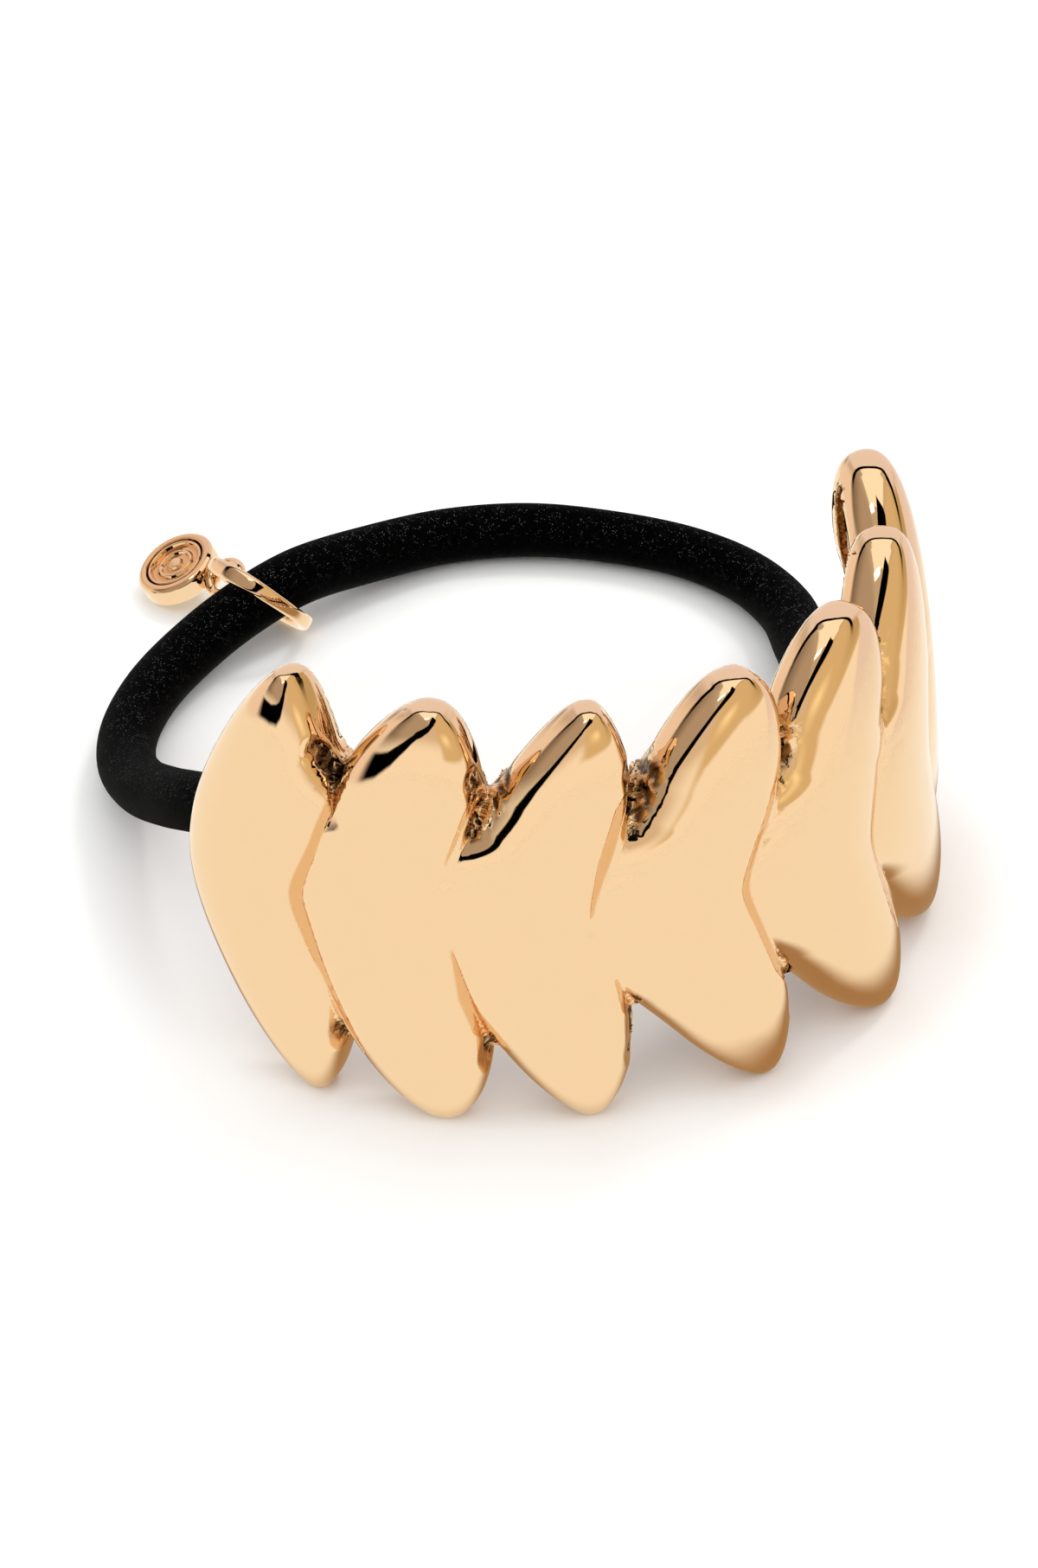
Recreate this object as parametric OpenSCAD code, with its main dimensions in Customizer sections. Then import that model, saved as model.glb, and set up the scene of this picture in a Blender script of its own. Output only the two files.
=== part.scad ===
// Hair tie: a cast cuff of seven leaning lobes, carried on a closed elastic cord,
// with a small disc charm on a band ring round the cord.
// The cuff stands on the lower tips of its lobes and the back of the cord lies on the floor.

/* [Cuff] */
// Height of the cuff, from its lower tips to its upper tips
cuff_h = 29.3; // [26:0.1:32]
// Radius of the arc through the upper tips
upper_tip_r = 24.1; // [23.5:0.1:25]
// Radius of the arc through the lower tips
lower_tip_r = 26.4; // [25.5:0.1:27]
// How far the crown of a lobe stands out from the line between its tips
crown = 2.6; // [2.4:0.05:3]
// Half the width of a lobe at its middle, where it runs into its neighbours
lobe_half_w = 6.4; // [6.2:0.1:6.8]
// How sharply a lobe bends at its middle, where a small value is sharper
bend_soft = 0.2; // [0.15:0.05:0.4]

/* [Hollow backs] */
// Share of a lobe's width that its hollow takes
hollow_w = 0.66; // [0.5:0.02:0.7]
// Share of a lobe's height that its hollow takes
hollow_h = 0.84; // [0.7:0.02:0.88]
// Thickness of metal in front of a hollow
front_wall = 1.2; // [1:0.1:1.6]

/* [Cord loops] */
// Width of a cord loop, along the cord
loop_w = 1.6; // [1.2:0.1:2.4]
// Thickness of a cord loop's band
loop_t = 1.1; // [0.9:0.1:1.4]
// Space between the cord and a loop's band, all round
loop_play = 0.3; // [0.25:0.05:0.5]

/* [Cord] */
// Diameter of the cord where it is thickest
cord_d = 4.1; // [3.8:0.1:4.2]
// Number of sides of the cord's tube
cord_sides = 12; // [8:1:12]

/* [Charm] */
// Diameter of the charm's disc
disc_d = 5.8; // [5.6:0.1:6]
// Thickness of the charm's disc
disc_t = 1.6; // [1.3:0.1:1.8]
// Diameter of the sunk field in the disc's face
field_d = 4.0; // [3:0.1:4.4]
// Depth of the sunk field
field_depth = 0.25; // [0.15:0.05:0.4]
// Diameter of the raised circle in the middle of the field
boss_d = 1.6; // [1:0.1:2.4]
// Outer diameter of the band ring round the cord
ring_d = 8.4; // [8.3:0.1:8.6]
// Width of the ring's band
ring_w = 1.1; // [1:0.05:1.2]
// Thickness of the ring's band
ring_t = 0.75; // [0.65:0.05:0.8]

/* [Hidden] */

GOLD = [0.93, 0.72, 0.52];
BLACK = [0.05, 0.05, 0.06];

// Place of the arc's axis from the origin, which is under the middle of the cuff's box
axis_x = -3.48;
axis_y = 9.43;

// Section rings up a lobe and points round each ring
RINGS = 16;
SIDES = 24;
HOLLOW_RINGS = 10;
HOLLOW_SIDES = 14;
// Fullness of a lobe's section: 2 is an oval, more is flatter with rounder shoulders
FULL = 2.5;
// Radius at which a width along the arc is turned into an angle
mid_r = (upper_tip_r + lower_tip_r) / 2;

// Angles of each lobe about the arc's axis, in degrees to the right of the front,
// how much narrower than an oval its arms are, as a share of the width,
// and how far its lower tip stands outside the arc of the lower tips, in mm
// [middle, upper tip, lower tip, upper narrowing, lower narrowing, lower tip out]
LOBES = [
  [-39, -36.5, -28, 0.4, 0.45, 0],
  [-19, -13, -9.5, 0.1, 0.1, 0.5],
  [3, 11, 10.5, 0.3, 0.3, 0.2],
  [26, 35, 36, 0, 0.3, 0.5],
  [49, 59, 59, -0.2, 0.1, 1.1],
  [72, 82.5, 83.5, 0.1, -0.25, 0.4],
  [93, 104.5, 101, -0.2, 0.1, 0],
];
MIDDLE = 0;
UPPER = 1;
LOWER = 2;
UPPER_NARROW = 3;
LOWER_NARROW = 4;
LOWER_OUT = 5;

// Angles of the two loops that hold the cord, on the ribs between lobes
LOOP_ANGLES = [-29, 60];
// Height of the cord inside the cuff, and its distance from the arc's axis there
cord_z = 14.5;
cord_r = 20.2;
// Length of a loop's legs, from the cord's centre into the rib
LOOP_LEG = 3.9;

// Route of the cord's centre from the arc's axis, once round: [x, y, z, diameter share]
ROUTE = [
  [-10.1, -17.5, 14.5, 1],
  [-13.9, -14.8, 14.0, 1],
  [-17.6, -11.0, 12.6, 1],
  [-20.7, -6.3, 10.2, 1],
  [-23.0, -1.2, 7.2, 1],
  [-25.0, 4.0, 4.5, 1],
  [-26.3, 9.2, 2.8, 1],
  [-26.3, 14.2, 2.2, 1],
  [-24.9, 19.4, 2.1, 1],
  [-22.4, 24.1, 2.3, 1],
  [-19.1, 28.0, 3.0, 1],
  [-15.1, 31.8, 3.4, 1],
  [-10.2, 36.1, 2.5, 1],
  [-4.8, 39.2, 2.0, 0.97],
  [1.0, 40.0, 2.0, 0.95],
  [6.6, 39.3, 1.9, 0.92],
  [12.0, 37.3, 1.9, 0.92],
  [16.2, 33.9, 2.0, 0.96],
  [18.9, 29.3, 2.2, 1],
  [19.9, 24.0, 2.8, 1],
  [20.4, 18.5, 4.4, 1],
  [20.5, 13.0, 6.8, 1],
  [20.4, 7.5, 9.4, 1],
  [19.8, 2.2, 11.6, 1],
  [19.4, -2.9, 13.2, 1],
  [18.5, -7.5, 14.1, 1],
  [16.9, -11.0, 14.5, 1],
  [14.0, -14.5, 14.5, 1],
  [10.4, -17.3, 14.5, 1],
  [5.9, -19.3, 14.5, 1],
  [0.7, -20.2, 14.5, 1],
  [-4.9, -19.6, 14.5, 1],
];
// Rings of the cord's tube on each span of the route
RINGS_A_SPAN = 2;

// The band ring stands on the floor round the cord, its face leaned and turned
ring_lean = 47.6;
ring_turn = 44.6;
ring_rise = (ring_d / 2 - 0.2) * sin(ring_lean) + ring_w / 2 * cos(ring_lean) + 0.05;
ring_at = [-17.9, 29.55, ring_rise];

// The disc leans on its left edge, and an eye on its right edge holds the ring's band
disc_lean = 26.9;
disc_turn = 198.6;
disc_rise = disc_t / 2 * cos(disc_lean) + disc_d / 2 * sin(disc_lean);
disc_at = [-23.7, 34.8, disc_rise];
eye_lean = 39.9;
eye_turn = 211;
eye_at = [-20.3, 32.4, 2.8];
eye_d = 3.2;
eye_wire = 0.6;

function on_arc(r, angle) = [r * sin(angle), -r * cos(angle)];

// How far a lobe has bent from its middle towards a tip, from 0 to 1
function bent(u) = (sqrt(u * u + bend_soft * bend_soft) - bend_soft)
  / (sqrt(1 + bend_soft * bend_soft) - bend_soft);

// Angle of a lobe's centre line at u, which runs from -1 at the lower tip to 1 at the upper
function lobe_angle(lobe, u) = lobe[MIDDLE]
  + ((u > 0 ? lobe[UPPER] : lobe[LOWER]) - lobe[MIDDLE]) * bent(abs(u));

// Radius of the line between a lobe's tips
function tip_line_r(lobe, u) = mid_r + (upper_tip_r - lower_tip_r) / 2 * u
  + (u < 0 ? lobe[LOWER_OUT] * u * u : 0);

// Points that close an oval ring at one level of a lobe
function lobe_ring(lobe, v, w, front, back, tall, count) =
  let (
    u = v * tall,
    swell = sqrt(1 - v * v),
    narrow = u > 0 ? lobe[UPPER_NARROW] : lobe[LOWER_NARROW],
    half_angle = w * swell * (1 - narrow * u * u) / mid_r * 180 / PI
  )
  [for (i = [0:count - 1])
    let (
      turn = 360 * i / count,
      across = sign(cos(turn)) * pow(abs(cos(turn)), 2 / FULL),
      out = sign(sin(turn)) * pow(abs(sin(turn)), 2 / FULL),
      r = tip_line_r(lobe, u) + out * swell * (out > 0 ? front : back),
      p = on_arc(r, lobe_angle(lobe, u) + half_angle * across)
    )
    [p[0], p[1], cuff_h / 2 * (1 + u)]];

// A closed skin over rings of equal size, with a point at each end
module skin(rings, first, last) {
  count = len(rings[0]);
  top = len(rings) * count + 1;
  points = concat([first], [for (ring = rings) each ring], [last]);
  low_cap = [for (i = [0:count - 1]) [0, 1 + (i + 1) % count, 1 + i]];
  sides = [for (k = [0:len(rings) - 2]) for (i = [0:count - 1])
    let (a = 1 + k * count, b = a + count, j = (i + 1) % count)
    each [[a + i, b + j, b + i], [a + i, a + j, b + j]]];
  high_cap = [for (i = [0:count - 1])
    [top, top - count + i, top - count + (i + 1) % count]];
  polyhedron(points, concat(low_cap, sides, high_cap), convexity = 6);
}

// One lobe's body, or its hollow when the shares are less than 1
module lobe_body(lobe, w, front, back, tall, rings, count) {
  tip = function (u) let (p = on_arc(tip_line_r(lobe, u), lobe_angle(lobe, u)))
    [p[0], p[1], cuff_h / 2 * (1 + u)];
  levels = [for (k = [1:rings - 1]) -cos(180 * k / rings)];
  skin([for (v = levels) lobe_ring(lobe, v, w, front, back, tall, count)], tip(-tall), tip(tall));
}

// A closed loop for the cord: two legs from a rib and a half round over the cord
module cord_loop(angle) {
  inner_r = cord_d / 2 + loop_play;
  rotate([0, 0, angle])
    translate([loop_w / 2, -cord_r, cord_z])
      rotate([0, -90, 0]) {
        rotate_extrude(angle = 180, $fn = 24)
          translate([inner_r, 0])
            square([loop_t, loop_w]);
        for (side = [-1, 1])
          translate([side * (inner_r + loop_t / 2) - loop_t / 2, -LOOP_LEG, 0])
            cube([loop_t, LOOP_LEG, loop_w]);
      }
}

module cuff() {
  color(GOLD)
    translate([axis_x, axis_y, 0]) {
      difference() {
        union()
          for (lobe = LOBES)
            lobe_body(lobe, lobe_half_w, crown, crown, 1, RINGS, SIDES);
        for (lobe = LOBES)
          lobe_body(lobe, lobe_half_w * hollow_w, crown - front_wall, crown + 1.5,
            hollow_h, HOLLOW_RINGS, HOLLOW_SIDES);
      }
      for (angle = LOOP_ANGLES)
        cord_loop(angle);
    }
}

// A point on the smooth curve through four route points, at share t of the middle span
function between(a, b, c, d, t) =
  0.5 * (2 * b + (c - a) * t + (2 * a - 5 * b + 4 * c - d) * t * t
    + (3 * b - a - 3 * c + d) * t * t * t);

function route_point(k) = ROUTE[(k + len(ROUTE)) % len(ROUTE)];

function cord_stations() = [for (k = [0:len(ROUTE) - 1]) for (i = [0:RINGS_A_SPAN - 1])
  between(route_point(k - 1), route_point(k), route_point(k + 1), route_point(k + 2),
    i / RINGS_A_SPAN)];

function unit(v) = v / norm(v);

// A ring of the tube, square to the way the cord runs
function cord_ring(before, here, after) =
  let (
    along = unit([for (i = [0:2]) after[i] - before[i]]),
    side = unit(cross(along, [0, 0, 1])),
    up = cross(side, along),
    r = cord_d / 2 * here[3]
  )
  [for (i = [0:cord_sides - 1])
    let (turn = 360 * i / cord_sides)
    [for (j = [0:2]) here[j] + r * (cos(turn) * side[j] + sin(turn) * up[j])]];

module elastic_cord() {
  stations = cord_stations();
  n = len(stations);
  rings = [for (k = [0:n - 1])
    cord_ring(stations[(k + n - 1) % n], stations[k], stations[(k + 1) % n])];
  points = [for (ring = rings) each ring];
  faces = [for (k = [0:n - 1]) for (i = [0:cord_sides - 1])
    let (
      a = k * cord_sides,
      b = ((k + 1) % n) * cord_sides,
      j = (i + 1) % cord_sides
    )
    each [[a + i, a + j, b + j], [a + i, b + j, b + i]]];
  color(BLACK)
    translate([axis_x, axis_y, 0])
      polyhedron(points, faces, convexity = 6);
}

// Turns a flat piece so that its face leans from level towards one heading
module leaned(at, lean, turn) {
  translate(at)
    rotate([0, lean, turn])
      children();
}

// Section of the ring's band, flat inside and domed outside
module band_section() {
  dome_r = ring_w * 0.75;
  intersection() {
    translate([ring_d / 2 - ring_t, -ring_w / 2])
      square([ring_t, ring_w]);
    translate([ring_d / 2 - dome_r, 0])
      circle(r = dome_r, $fn = 48);
  }
}

module charm_ring() {
  color(GOLD)
    translate([axis_x, axis_y, 0])
      leaned(ring_at, ring_lean, ring_turn)
        rotate_extrude($fn = 64)
          band_section();
}

// Half section of the disc, with its outer edges eased
module disc_section() {
  r = disc_d / 2;
  h = disc_t / 2;
  ease = 0.2;
  polygon([
    [0, -h],
    [r - ease, -h],
    [r, ease - h],
    [r, h - ease],
    [r - ease, h],
    [field_d / 2, h],
    [field_d / 2, h - field_depth],
    [boss_d / 2, h - field_depth],
    [boss_d / 2, h],
    [0, h],
  ]);
}

module charm_disc() {
  color(GOLD)
    translate([axis_x, axis_y, 0]) {
      leaned(disc_at, disc_lean, disc_turn)
        rotate_extrude($fn = 64)
          disc_section();
      leaned(eye_at, eye_lean, eye_turn)
        rotate_extrude($fn = 48)
          translate([eye_d / 2 - eye_wire / 2, 0])
            circle(d = eye_wire, $fn = 24);
    }
}

cuff();
elastic_cord();
charm_ring();
charm_disc();
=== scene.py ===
"""Hair tie: a cast rose gold cuff of seven leaning lobes, held on a closed
black elastic cord, with a small disc charm on a band ring round the cord."""

import logging
import math
from dataclasses import dataclass, field
from enum import Enum
from typing import Callable, Iterable, Sequence

import bmesh
import bpy
import numpy as np
from mathutils import Matrix, Vector, noise


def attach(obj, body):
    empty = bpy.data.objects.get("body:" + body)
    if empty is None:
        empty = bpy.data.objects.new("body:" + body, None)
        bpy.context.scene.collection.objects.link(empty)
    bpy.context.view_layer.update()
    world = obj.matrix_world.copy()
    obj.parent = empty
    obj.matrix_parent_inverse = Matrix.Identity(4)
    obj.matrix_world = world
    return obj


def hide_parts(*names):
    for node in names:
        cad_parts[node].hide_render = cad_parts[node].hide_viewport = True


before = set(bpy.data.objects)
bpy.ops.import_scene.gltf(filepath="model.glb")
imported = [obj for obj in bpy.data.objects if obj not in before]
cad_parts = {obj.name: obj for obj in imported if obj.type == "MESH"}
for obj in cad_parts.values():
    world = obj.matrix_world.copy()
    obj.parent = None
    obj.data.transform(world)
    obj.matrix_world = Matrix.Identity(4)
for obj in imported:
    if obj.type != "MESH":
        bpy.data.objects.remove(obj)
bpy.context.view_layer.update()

LOG = logging.getLogger("hair_tie")
MM = 0.001
# The axis of the cuff's arc, from which every shape is measured in millimetres
AXIS = Vector((-3.48, 9.43, 0.0))
UPWARD = Vector((0.0, 0.0, 1.0))
# Points closer than this, in millimetres, are one
WELD = 1e-4
TINY = 1e-12

Array = np.ndarray
BMesh = bmesh.types.BMesh
Piece = bpy.types.Object
Socket = bpy.types.NodeSocket
Span = tuple[float, float]
Colour = tuple[float, float, float]
Point = tuple[float, float, float]
Station = tuple[float, float, float, float]


class Slot(Enum):
    """The record's two material slots."""

    GOLD = "rose_gold"
    ELASTIC = "black_elastic"


# Route of the cord's centre from the arc's axis, in millimetres, once round:
# x, y, z and the share of the full diameter
ROUTE: tuple[Station, ...] = (
    (-10.1, -17.5, 14.5, 1.0),
    (-13.9, -14.8, 14.0, 1.0),
    (-17.6, -11.0, 12.6, 1.0),
    (-20.7, -6.3, 10.2, 1.0),
    (-23.0, -1.2, 7.2, 1.0),
    (-25.0, 4.0, 4.5, 1.0),
    (-26.3, 9.2, 2.8, 1.0),
    (-26.3, 14.2, 2.2, 1.0),
    (-24.9, 19.4, 2.1, 1.0),
    (-22.4, 24.1, 2.3, 1.0),
    (-19.1, 28.0, 3.0, 1.0),
    (-15.1, 31.8, 3.4, 1.0),
    (-10.2, 36.1, 2.5, 1.0),
    (-4.8, 39.2, 2.0, 0.97),
    (1.0, 40.0, 2.0, 0.95),
    (6.6, 39.3, 1.9, 0.92),
    (12.0, 37.3, 1.9, 0.92),
    (16.2, 33.9, 2.0, 0.96),
    (18.9, 29.3, 2.2, 1.0),
    (19.9, 24.0, 2.8, 1.0),
    (20.4, 18.5, 4.4, 1.0),
    (20.5, 13.0, 6.8, 1.0),
    (20.4, 7.5, 9.4, 1.0),
    (19.8, 2.2, 11.6, 1.0),
    (19.4, -2.9, 13.2, 1.0),
    (18.5, -7.5, 14.1, 1.0),
    (16.9, -11.0, 14.5, 1.0),
    (14.0, -14.5, 14.5, 1.0),
    (10.4, -17.3, 14.5, 1.0),
    (5.9, -19.3, 14.5, 1.0),
    (0.7, -20.2, 14.5, 1.0),
    (-4.9, -19.6, 14.5, 1.0),
)


def to_scene(name: str, bm: BMesh) -> Piece:
    """Makes an object of a bmesh and links it to the scene.

    Args:
        name: The object's name.
        bm: Its mesh, freed here.

    Returns:
        The new object.
    """
    mesh = bpy.data.meshes.new(name)
    bm.to_mesh(mesh)
    bm.free()
    piece = bpy.data.objects.new(name, mesh)
    bpy.context.scene.collection.objects.link(piece)
    return piece


def new_piece(name: str, bm: BMesh) -> Piece:
    """Makes a smooth piece of a bmesh whose points are in metres, and lets it ride.

    Args:
        name: The piece's name.
        bm: Its mesh, freed here.

    Returns:
        The new piece.
    """
    piece = to_scene(name, bm)
    faces = piece.data.polygons
    faces.foreach_set("use_smooth", [True] * len(faces))
    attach(piece, "root")
    LOG.info("%s: %d faces", name, len(faces))
    return piece


def swollen(value: float | Array, power: float) -> float | Array:
    """Returns a value from -1 to 1 raised to a power with its sign kept."""
    return np.copysign(np.abs(value) ** power, value)


class Sheet:
    """Adds nodes to one shader tree and wires them."""

    def __init__(self, tree: bpy.types.NodeTree) -> None:
        """Keeps the tree and empties it."""
        self.tree = tree
        tree.nodes.clear()

    def add(self, kind: str, **settings: object) -> bpy.types.Node:
        """Adds a node.

        Args:
            kind: Blender's type name of the node, without its ShaderNode.
            settings: Attributes of the node, or its inputs by name, with
                spaces written as underscores.

        Returns:
            The node.
        """
        node = self.tree.nodes.new("ShaderNode" + kind)
        for key, value in settings.items():
            name = key.replace("_", " ")
            if hasattr(node, key):
                setattr(node, key, value)
            elif name in node.inputs:
                self.feed(node.inputs[name], value)
            else:
                raise KeyError(f"{kind} has no {key}")
        return node

    def feed(self, socket: Socket, value: object) -> None:
        """Gives an input a link or a plain value.

        Args:
            socket: The input.
            value: An output to link it to, or a colour, vector or number.
        """
        if isinstance(value, bpy.types.NodeSocket):
            self.tree.links.new(value, socket)
        elif isinstance(value, tuple) and socket.type == "RGBA":
            socket.default_value = (*value, 1.0)
        else:
            socket.default_value = value

    def math(self, operation: str, *terms: object) -> Socket:
        """Does one sum.

        Args:
            operation: The Math node's operation.
            terms: Its terms, each an output or a number.

        Returns:
            The result.
        """
        node = self.add("Math", operation=operation)
        for socket, term in zip(node.inputs, terms):
            self.feed(socket, term)
        return node.outputs[0]

    def times(self, first: object, second: object) -> Socket:
        """Returns the product of two terms."""
        return self.math("MULTIPLY", first, second)

    def ramp(self, value: object, low: float, high: float) -> Socket:
        """Makes a smooth step of a value.

        Args:
            value: The value.
            low: Where the step is 0.
            high: Where the step is 1, which may be below low.

        Returns:
            The step's height.
        """
        flip = low > high
        node = self.add(
            "MapRange",
            interpolation_type="SMOOTHSTEP",
            Value=value,
            From_Min=min(low, high),
            From_Max=max(low, high),
            To_Min=1.0 if flip else 0.0,
            To_Max=0.0 if flip else 1.0,
        )
        return node.outputs[0]

    def mix(self, share: object, first: object, second: object) -> Socket:
        """Mixes two colours.

        Args:
            share: The second colour's share.
            first: The first colour.
            second: The second colour.

        Returns:
            The mixed colour.
        """
        node = self.add("Mix", data_type="RGBA")
        for socket, value in ((0, share), (6, first), (7, second)):
            self.feed(node.inputs[socket], value)
        return node.outputs[2]

    def noise(self, where: Socket, scale: float, detail: float = 2.0, rough: float = 0.5) -> Socket:
        """Adds a noise texture and returns its height."""
        node = self.add("TexNoise", Vector=where, Scale=scale, Detail=detail, Roughness=rough)
        return node.outputs["Fac"]

    def distance(self, where: Socket, point: Point | Vector) -> Socket:
        """Measures how far a place is from a point.

        Args:
            where: The place.
            point: The point, in metres.

        Returns:
            The distance in metres.
        """
        node = self.add("VectorMath", operation="DISTANCE", Vector=where)
        node.inputs[1].default_value = point
        return node.outputs["Value"]

    def parts(self, vector: Socket) -> Sequence[Socket]:
        """Returns the three parts of a vector."""
        return self.add("SeparateXYZ", Vector=vector).outputs

    def attribute(self, name: str) -> Socket:
        """Returns the height of a mesh attribute."""
        return self.add("Attribute", attribute_name=name).outputs["Fac"]


class Finish:
    """A material that wires its own shader."""

    name: str

    def shader(self, sheet: Sheet) -> Socket:
        """Wires the finish's nodes and returns its shader."""
        raise NotImplementedError

    def make(self) -> bpy.types.Material:
        """Builds the material.

        Returns:
            The new material.
        """
        material = bpy.data.materials.new(self.name)
        material.use_nodes = True
        sheet = Sheet(material.node_tree)
        sheet.add("OutputMaterial", Surface=self.shader(sheet))
        return material


@dataclass(frozen=True)
class PolishedGold(Finish):
    """Mirror-bright rose gold plate over a casting.

    The grains are noise scales, and the casting's pits are bumps in metres.
    The grooves get a painted orange-brown reflection and shade of the gold.
    """

    name: str = "polished_rose_gold"
    colour: Colour = (0.86, 0.60, 0.365)
    warmer: Colour = (0.93, 0.62, 0.36)
    clouded: float = 0.12
    cloud_grain: float = 260.0
    # Painted orange-brown reflection and shade of the gold in the grooves and on the disc's face
    groove_and_shade: Colour = (0.76, 0.41, 0.18)
    tarnish: Colour = (0.035, 0.014, 0.006)
    tarnished: float = 0.9
    roughness: float = 0.02
    polish_uneven: float = 0.02
    polish_grain: float = 2400.0
    dull: float = 0.1
    casting: float = 0.35
    casting_deep: float = 0.00025
    casting_grain: float = 1300.0

    def shader(self, sheet: Sheet) -> Socket:
        """Wires the polish, the painted reflection and shade in the grooves, the tarnish and the
        casting.

        Args:
            sheet: The material's nodes.

        Returns:
            The shader.
        """
        where = sheet.add("TexCoord").outputs["Object"]
        rough = sheet.attribute("rough")
        cloud = sheet.times(sheet.noise(where, self.cloud_grain, 3.0), self.clouded)
        tone = sheet.mix(cloud, self.colour, self.warmer)
        # The grooves get the painted reflection and shade of the gold
        colour = sheet.mix(sheet.attribute("groove_and_shade"), tone, self.groove_and_shade)
        tarnish = sheet.times(sheet.attribute("pit"), self.tarnished)
        grain = sheet.noise(where, self.polish_grain, 3.0, 0.6)
        shine = sheet.math("MULTIPLY_ADD", grain, self.polish_uneven, self.roughness)
        bump = sheet.add(
            "Bump",
            Strength=sheet.times(rough, self.casting),
            Distance=self.casting_deep,
            Height=sheet.noise(where, self.casting_grain, 4.0, 0.6),
        )
        shader = sheet.add(
            "BsdfPrincipled",
            Base_Color=sheet.mix(tarnish, colour, self.tarnish),
            Metallic=1.0,
            Roughness=sheet.math("MULTIPLY_ADD", rough, self.dull, shine),
            Normal=bump.outputs[0],
        )
        return shader.outputs[0]


@dataclass(frozen=True)
class BlackElastic(Finish):
    """Matt black knitted elastic with a soft nap and painted glints of a few bright fibres.

    The weave is stretched round the cord by its scale along and round it. The
    fibre glints are painted where sparse spots and a thinning noise meet near the top of the cord,
    where the light falls.
    """

    name: str = "black_knitted_elastic"
    dark: Colour = (0.0003, 0.0003, 0.0003)
    light: Colour = (0.0012, 0.0012, 0.0011)
    weave: Point = (420.0, 9.0, 1.0)
    weave_lit: Span = (0.42, 0.75)
    fibre_glint: Colour = (0.20, 0.20, 0.20)
    glint_grain: float = 8200.0
    glint_spot: Span = (0.26, 0.12)
    thin_grain: float = 2600.0
    thin_out: Span = (0.46, 0.62)
    # Where round the cord the painted glints sit: its top, where the light falls
    top: float = 0.25
    glint_off_top: Span = (0.3, 0.05)
    nap_grain: float = 4200.0
    nap_deep: float = 0.00008

    def shader(self, sheet: Sheet) -> Socket:
        """Wires the weave, the painted fibre glints and the nap.

        Args:
            sheet: The material's nodes.

        Returns:
            The shader.
        """
        where = sheet.add("TexCoord").outputs["Object"]
        round_cord = sheet.add("UVMap").outputs["UV"]
        weave = sheet.add("Mapping", Scale=self.weave, Vector=round_cord)
        cloud = sheet.noise(weave.outputs[0], 1.0, 3.0, 0.7)
        tone = sheet.mix(sheet.ramp(cloud, *self.weave_lit), self.dark, self.light)
        # Painted highlight: bright fibre glints, kept to the top of the cord
        spots = sheet.add("TexVoronoi", Scale=self.glint_grain, feature="F1", Vector=where)
        glint_spots = sheet.ramp(spots.outputs["Distance"], *self.glint_spot)
        thin = sheet.ramp(sheet.noise(where, self.thin_grain), *self.thin_out)
        turn = sheet.math("SUBTRACT", sheet.parts(round_cord)[1], self.top)
        upper = sheet.ramp(sheet.math("ABSOLUTE", turn), *self.glint_off_top)
        bump = sheet.add(
            "Bump",
            Strength=0.6,
            Distance=self.nap_deep,
            Height=sheet.noise(where, self.nap_grain, 3.0, 0.7),
        )
        shader = sheet.add(
            "BsdfPrincipled",
            Base_Color=sheet.mix(sheet.times(sheet.times(glint_spots, thin), upper), tone, self.fibre_glint),
            Roughness=0.7,
            Specular_IOR_Level=0.015,
            Sheen_Weight=0.006,
            Sheen_Roughness=0.35,
            Normal=bump.outputs[0],
        )
        return shader.outputs[0]


@dataclass(frozen=True)
class PaleFloor(Finish):
    """White satin table top."""

    name: str = "pale_floor"
    colour: Colour = (0.93, 0.93, 0.93)

    def shader(self, sheet: Sheet) -> Socket:
        """Returns the table's plain shader."""
        shader = sheet.add("BsdfPrincipled", Base_Color=self.colour, Roughness=0.1, IOR=2.1)
        return shader.outputs[0]


@dataclass(frozen=True)
class MirroredFloor(Finish):
    """The table as the gold mirrors it, in metres.

    It is white, with a painted brown reflection of the cuff round its foot,
    and fades out over the reach from its middle.
    """

    name: str = "mirrored_floor"
    reach: Span = (0.095, 0.17)
    middle: Point = (-0.045, -0.02, 0.0)
    colour: Colour = (0.94, 0.95, 0.905)
    # Colour of the painted reflection of the cuff round its foot
    near: Colour = (0.42, 0.28, 0.15)
    foot: float = 0.0266
    foot_right: float = 0.0048
    right_span: Span = (0.009, 0.021)
    reflection_edge_span: Span = (0.003, -0.0015)

    def shader(self, sheet: Sheet) -> Socket:
        """Wires the white table, its painted brown reflection of the cuff and its soft rim.

        Args:
            sheet: The material's nodes.

        Returns:
            The shader.
        """
        where = sheet.add("TexCoord").outputs["Object"]
        axis = AXIS * MM
        start, end = (axis.x + part for part in self.right_span)
        right = sheet.ramp(sheet.parts(where)[0], start, end)
        edge = sheet.math("MULTIPLY_ADD", right, self.foot_right, self.foot)
        past = sheet.math("SUBTRACT", sheet.distance(where, axis), edge)
        # Painted reflection: the floor turns brown round the cuff's foot
        colour = sheet.mix(sheet.ramp(past, *self.reflection_edge_span), self.colour, self.near)
        both = sheet.add("MixShader")
        sheet.feed(both.inputs[0], sheet.ramp(sheet.distance(where, self.middle), *self.reach))
        sheet.feed(both.inputs[1], sheet.add("BsdfDiffuse", Color=colour).outputs[0])
        sheet.feed(both.inputs[2], sheet.add("BsdfTransparent").outputs[0])
        return both.outputs[0]


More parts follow.
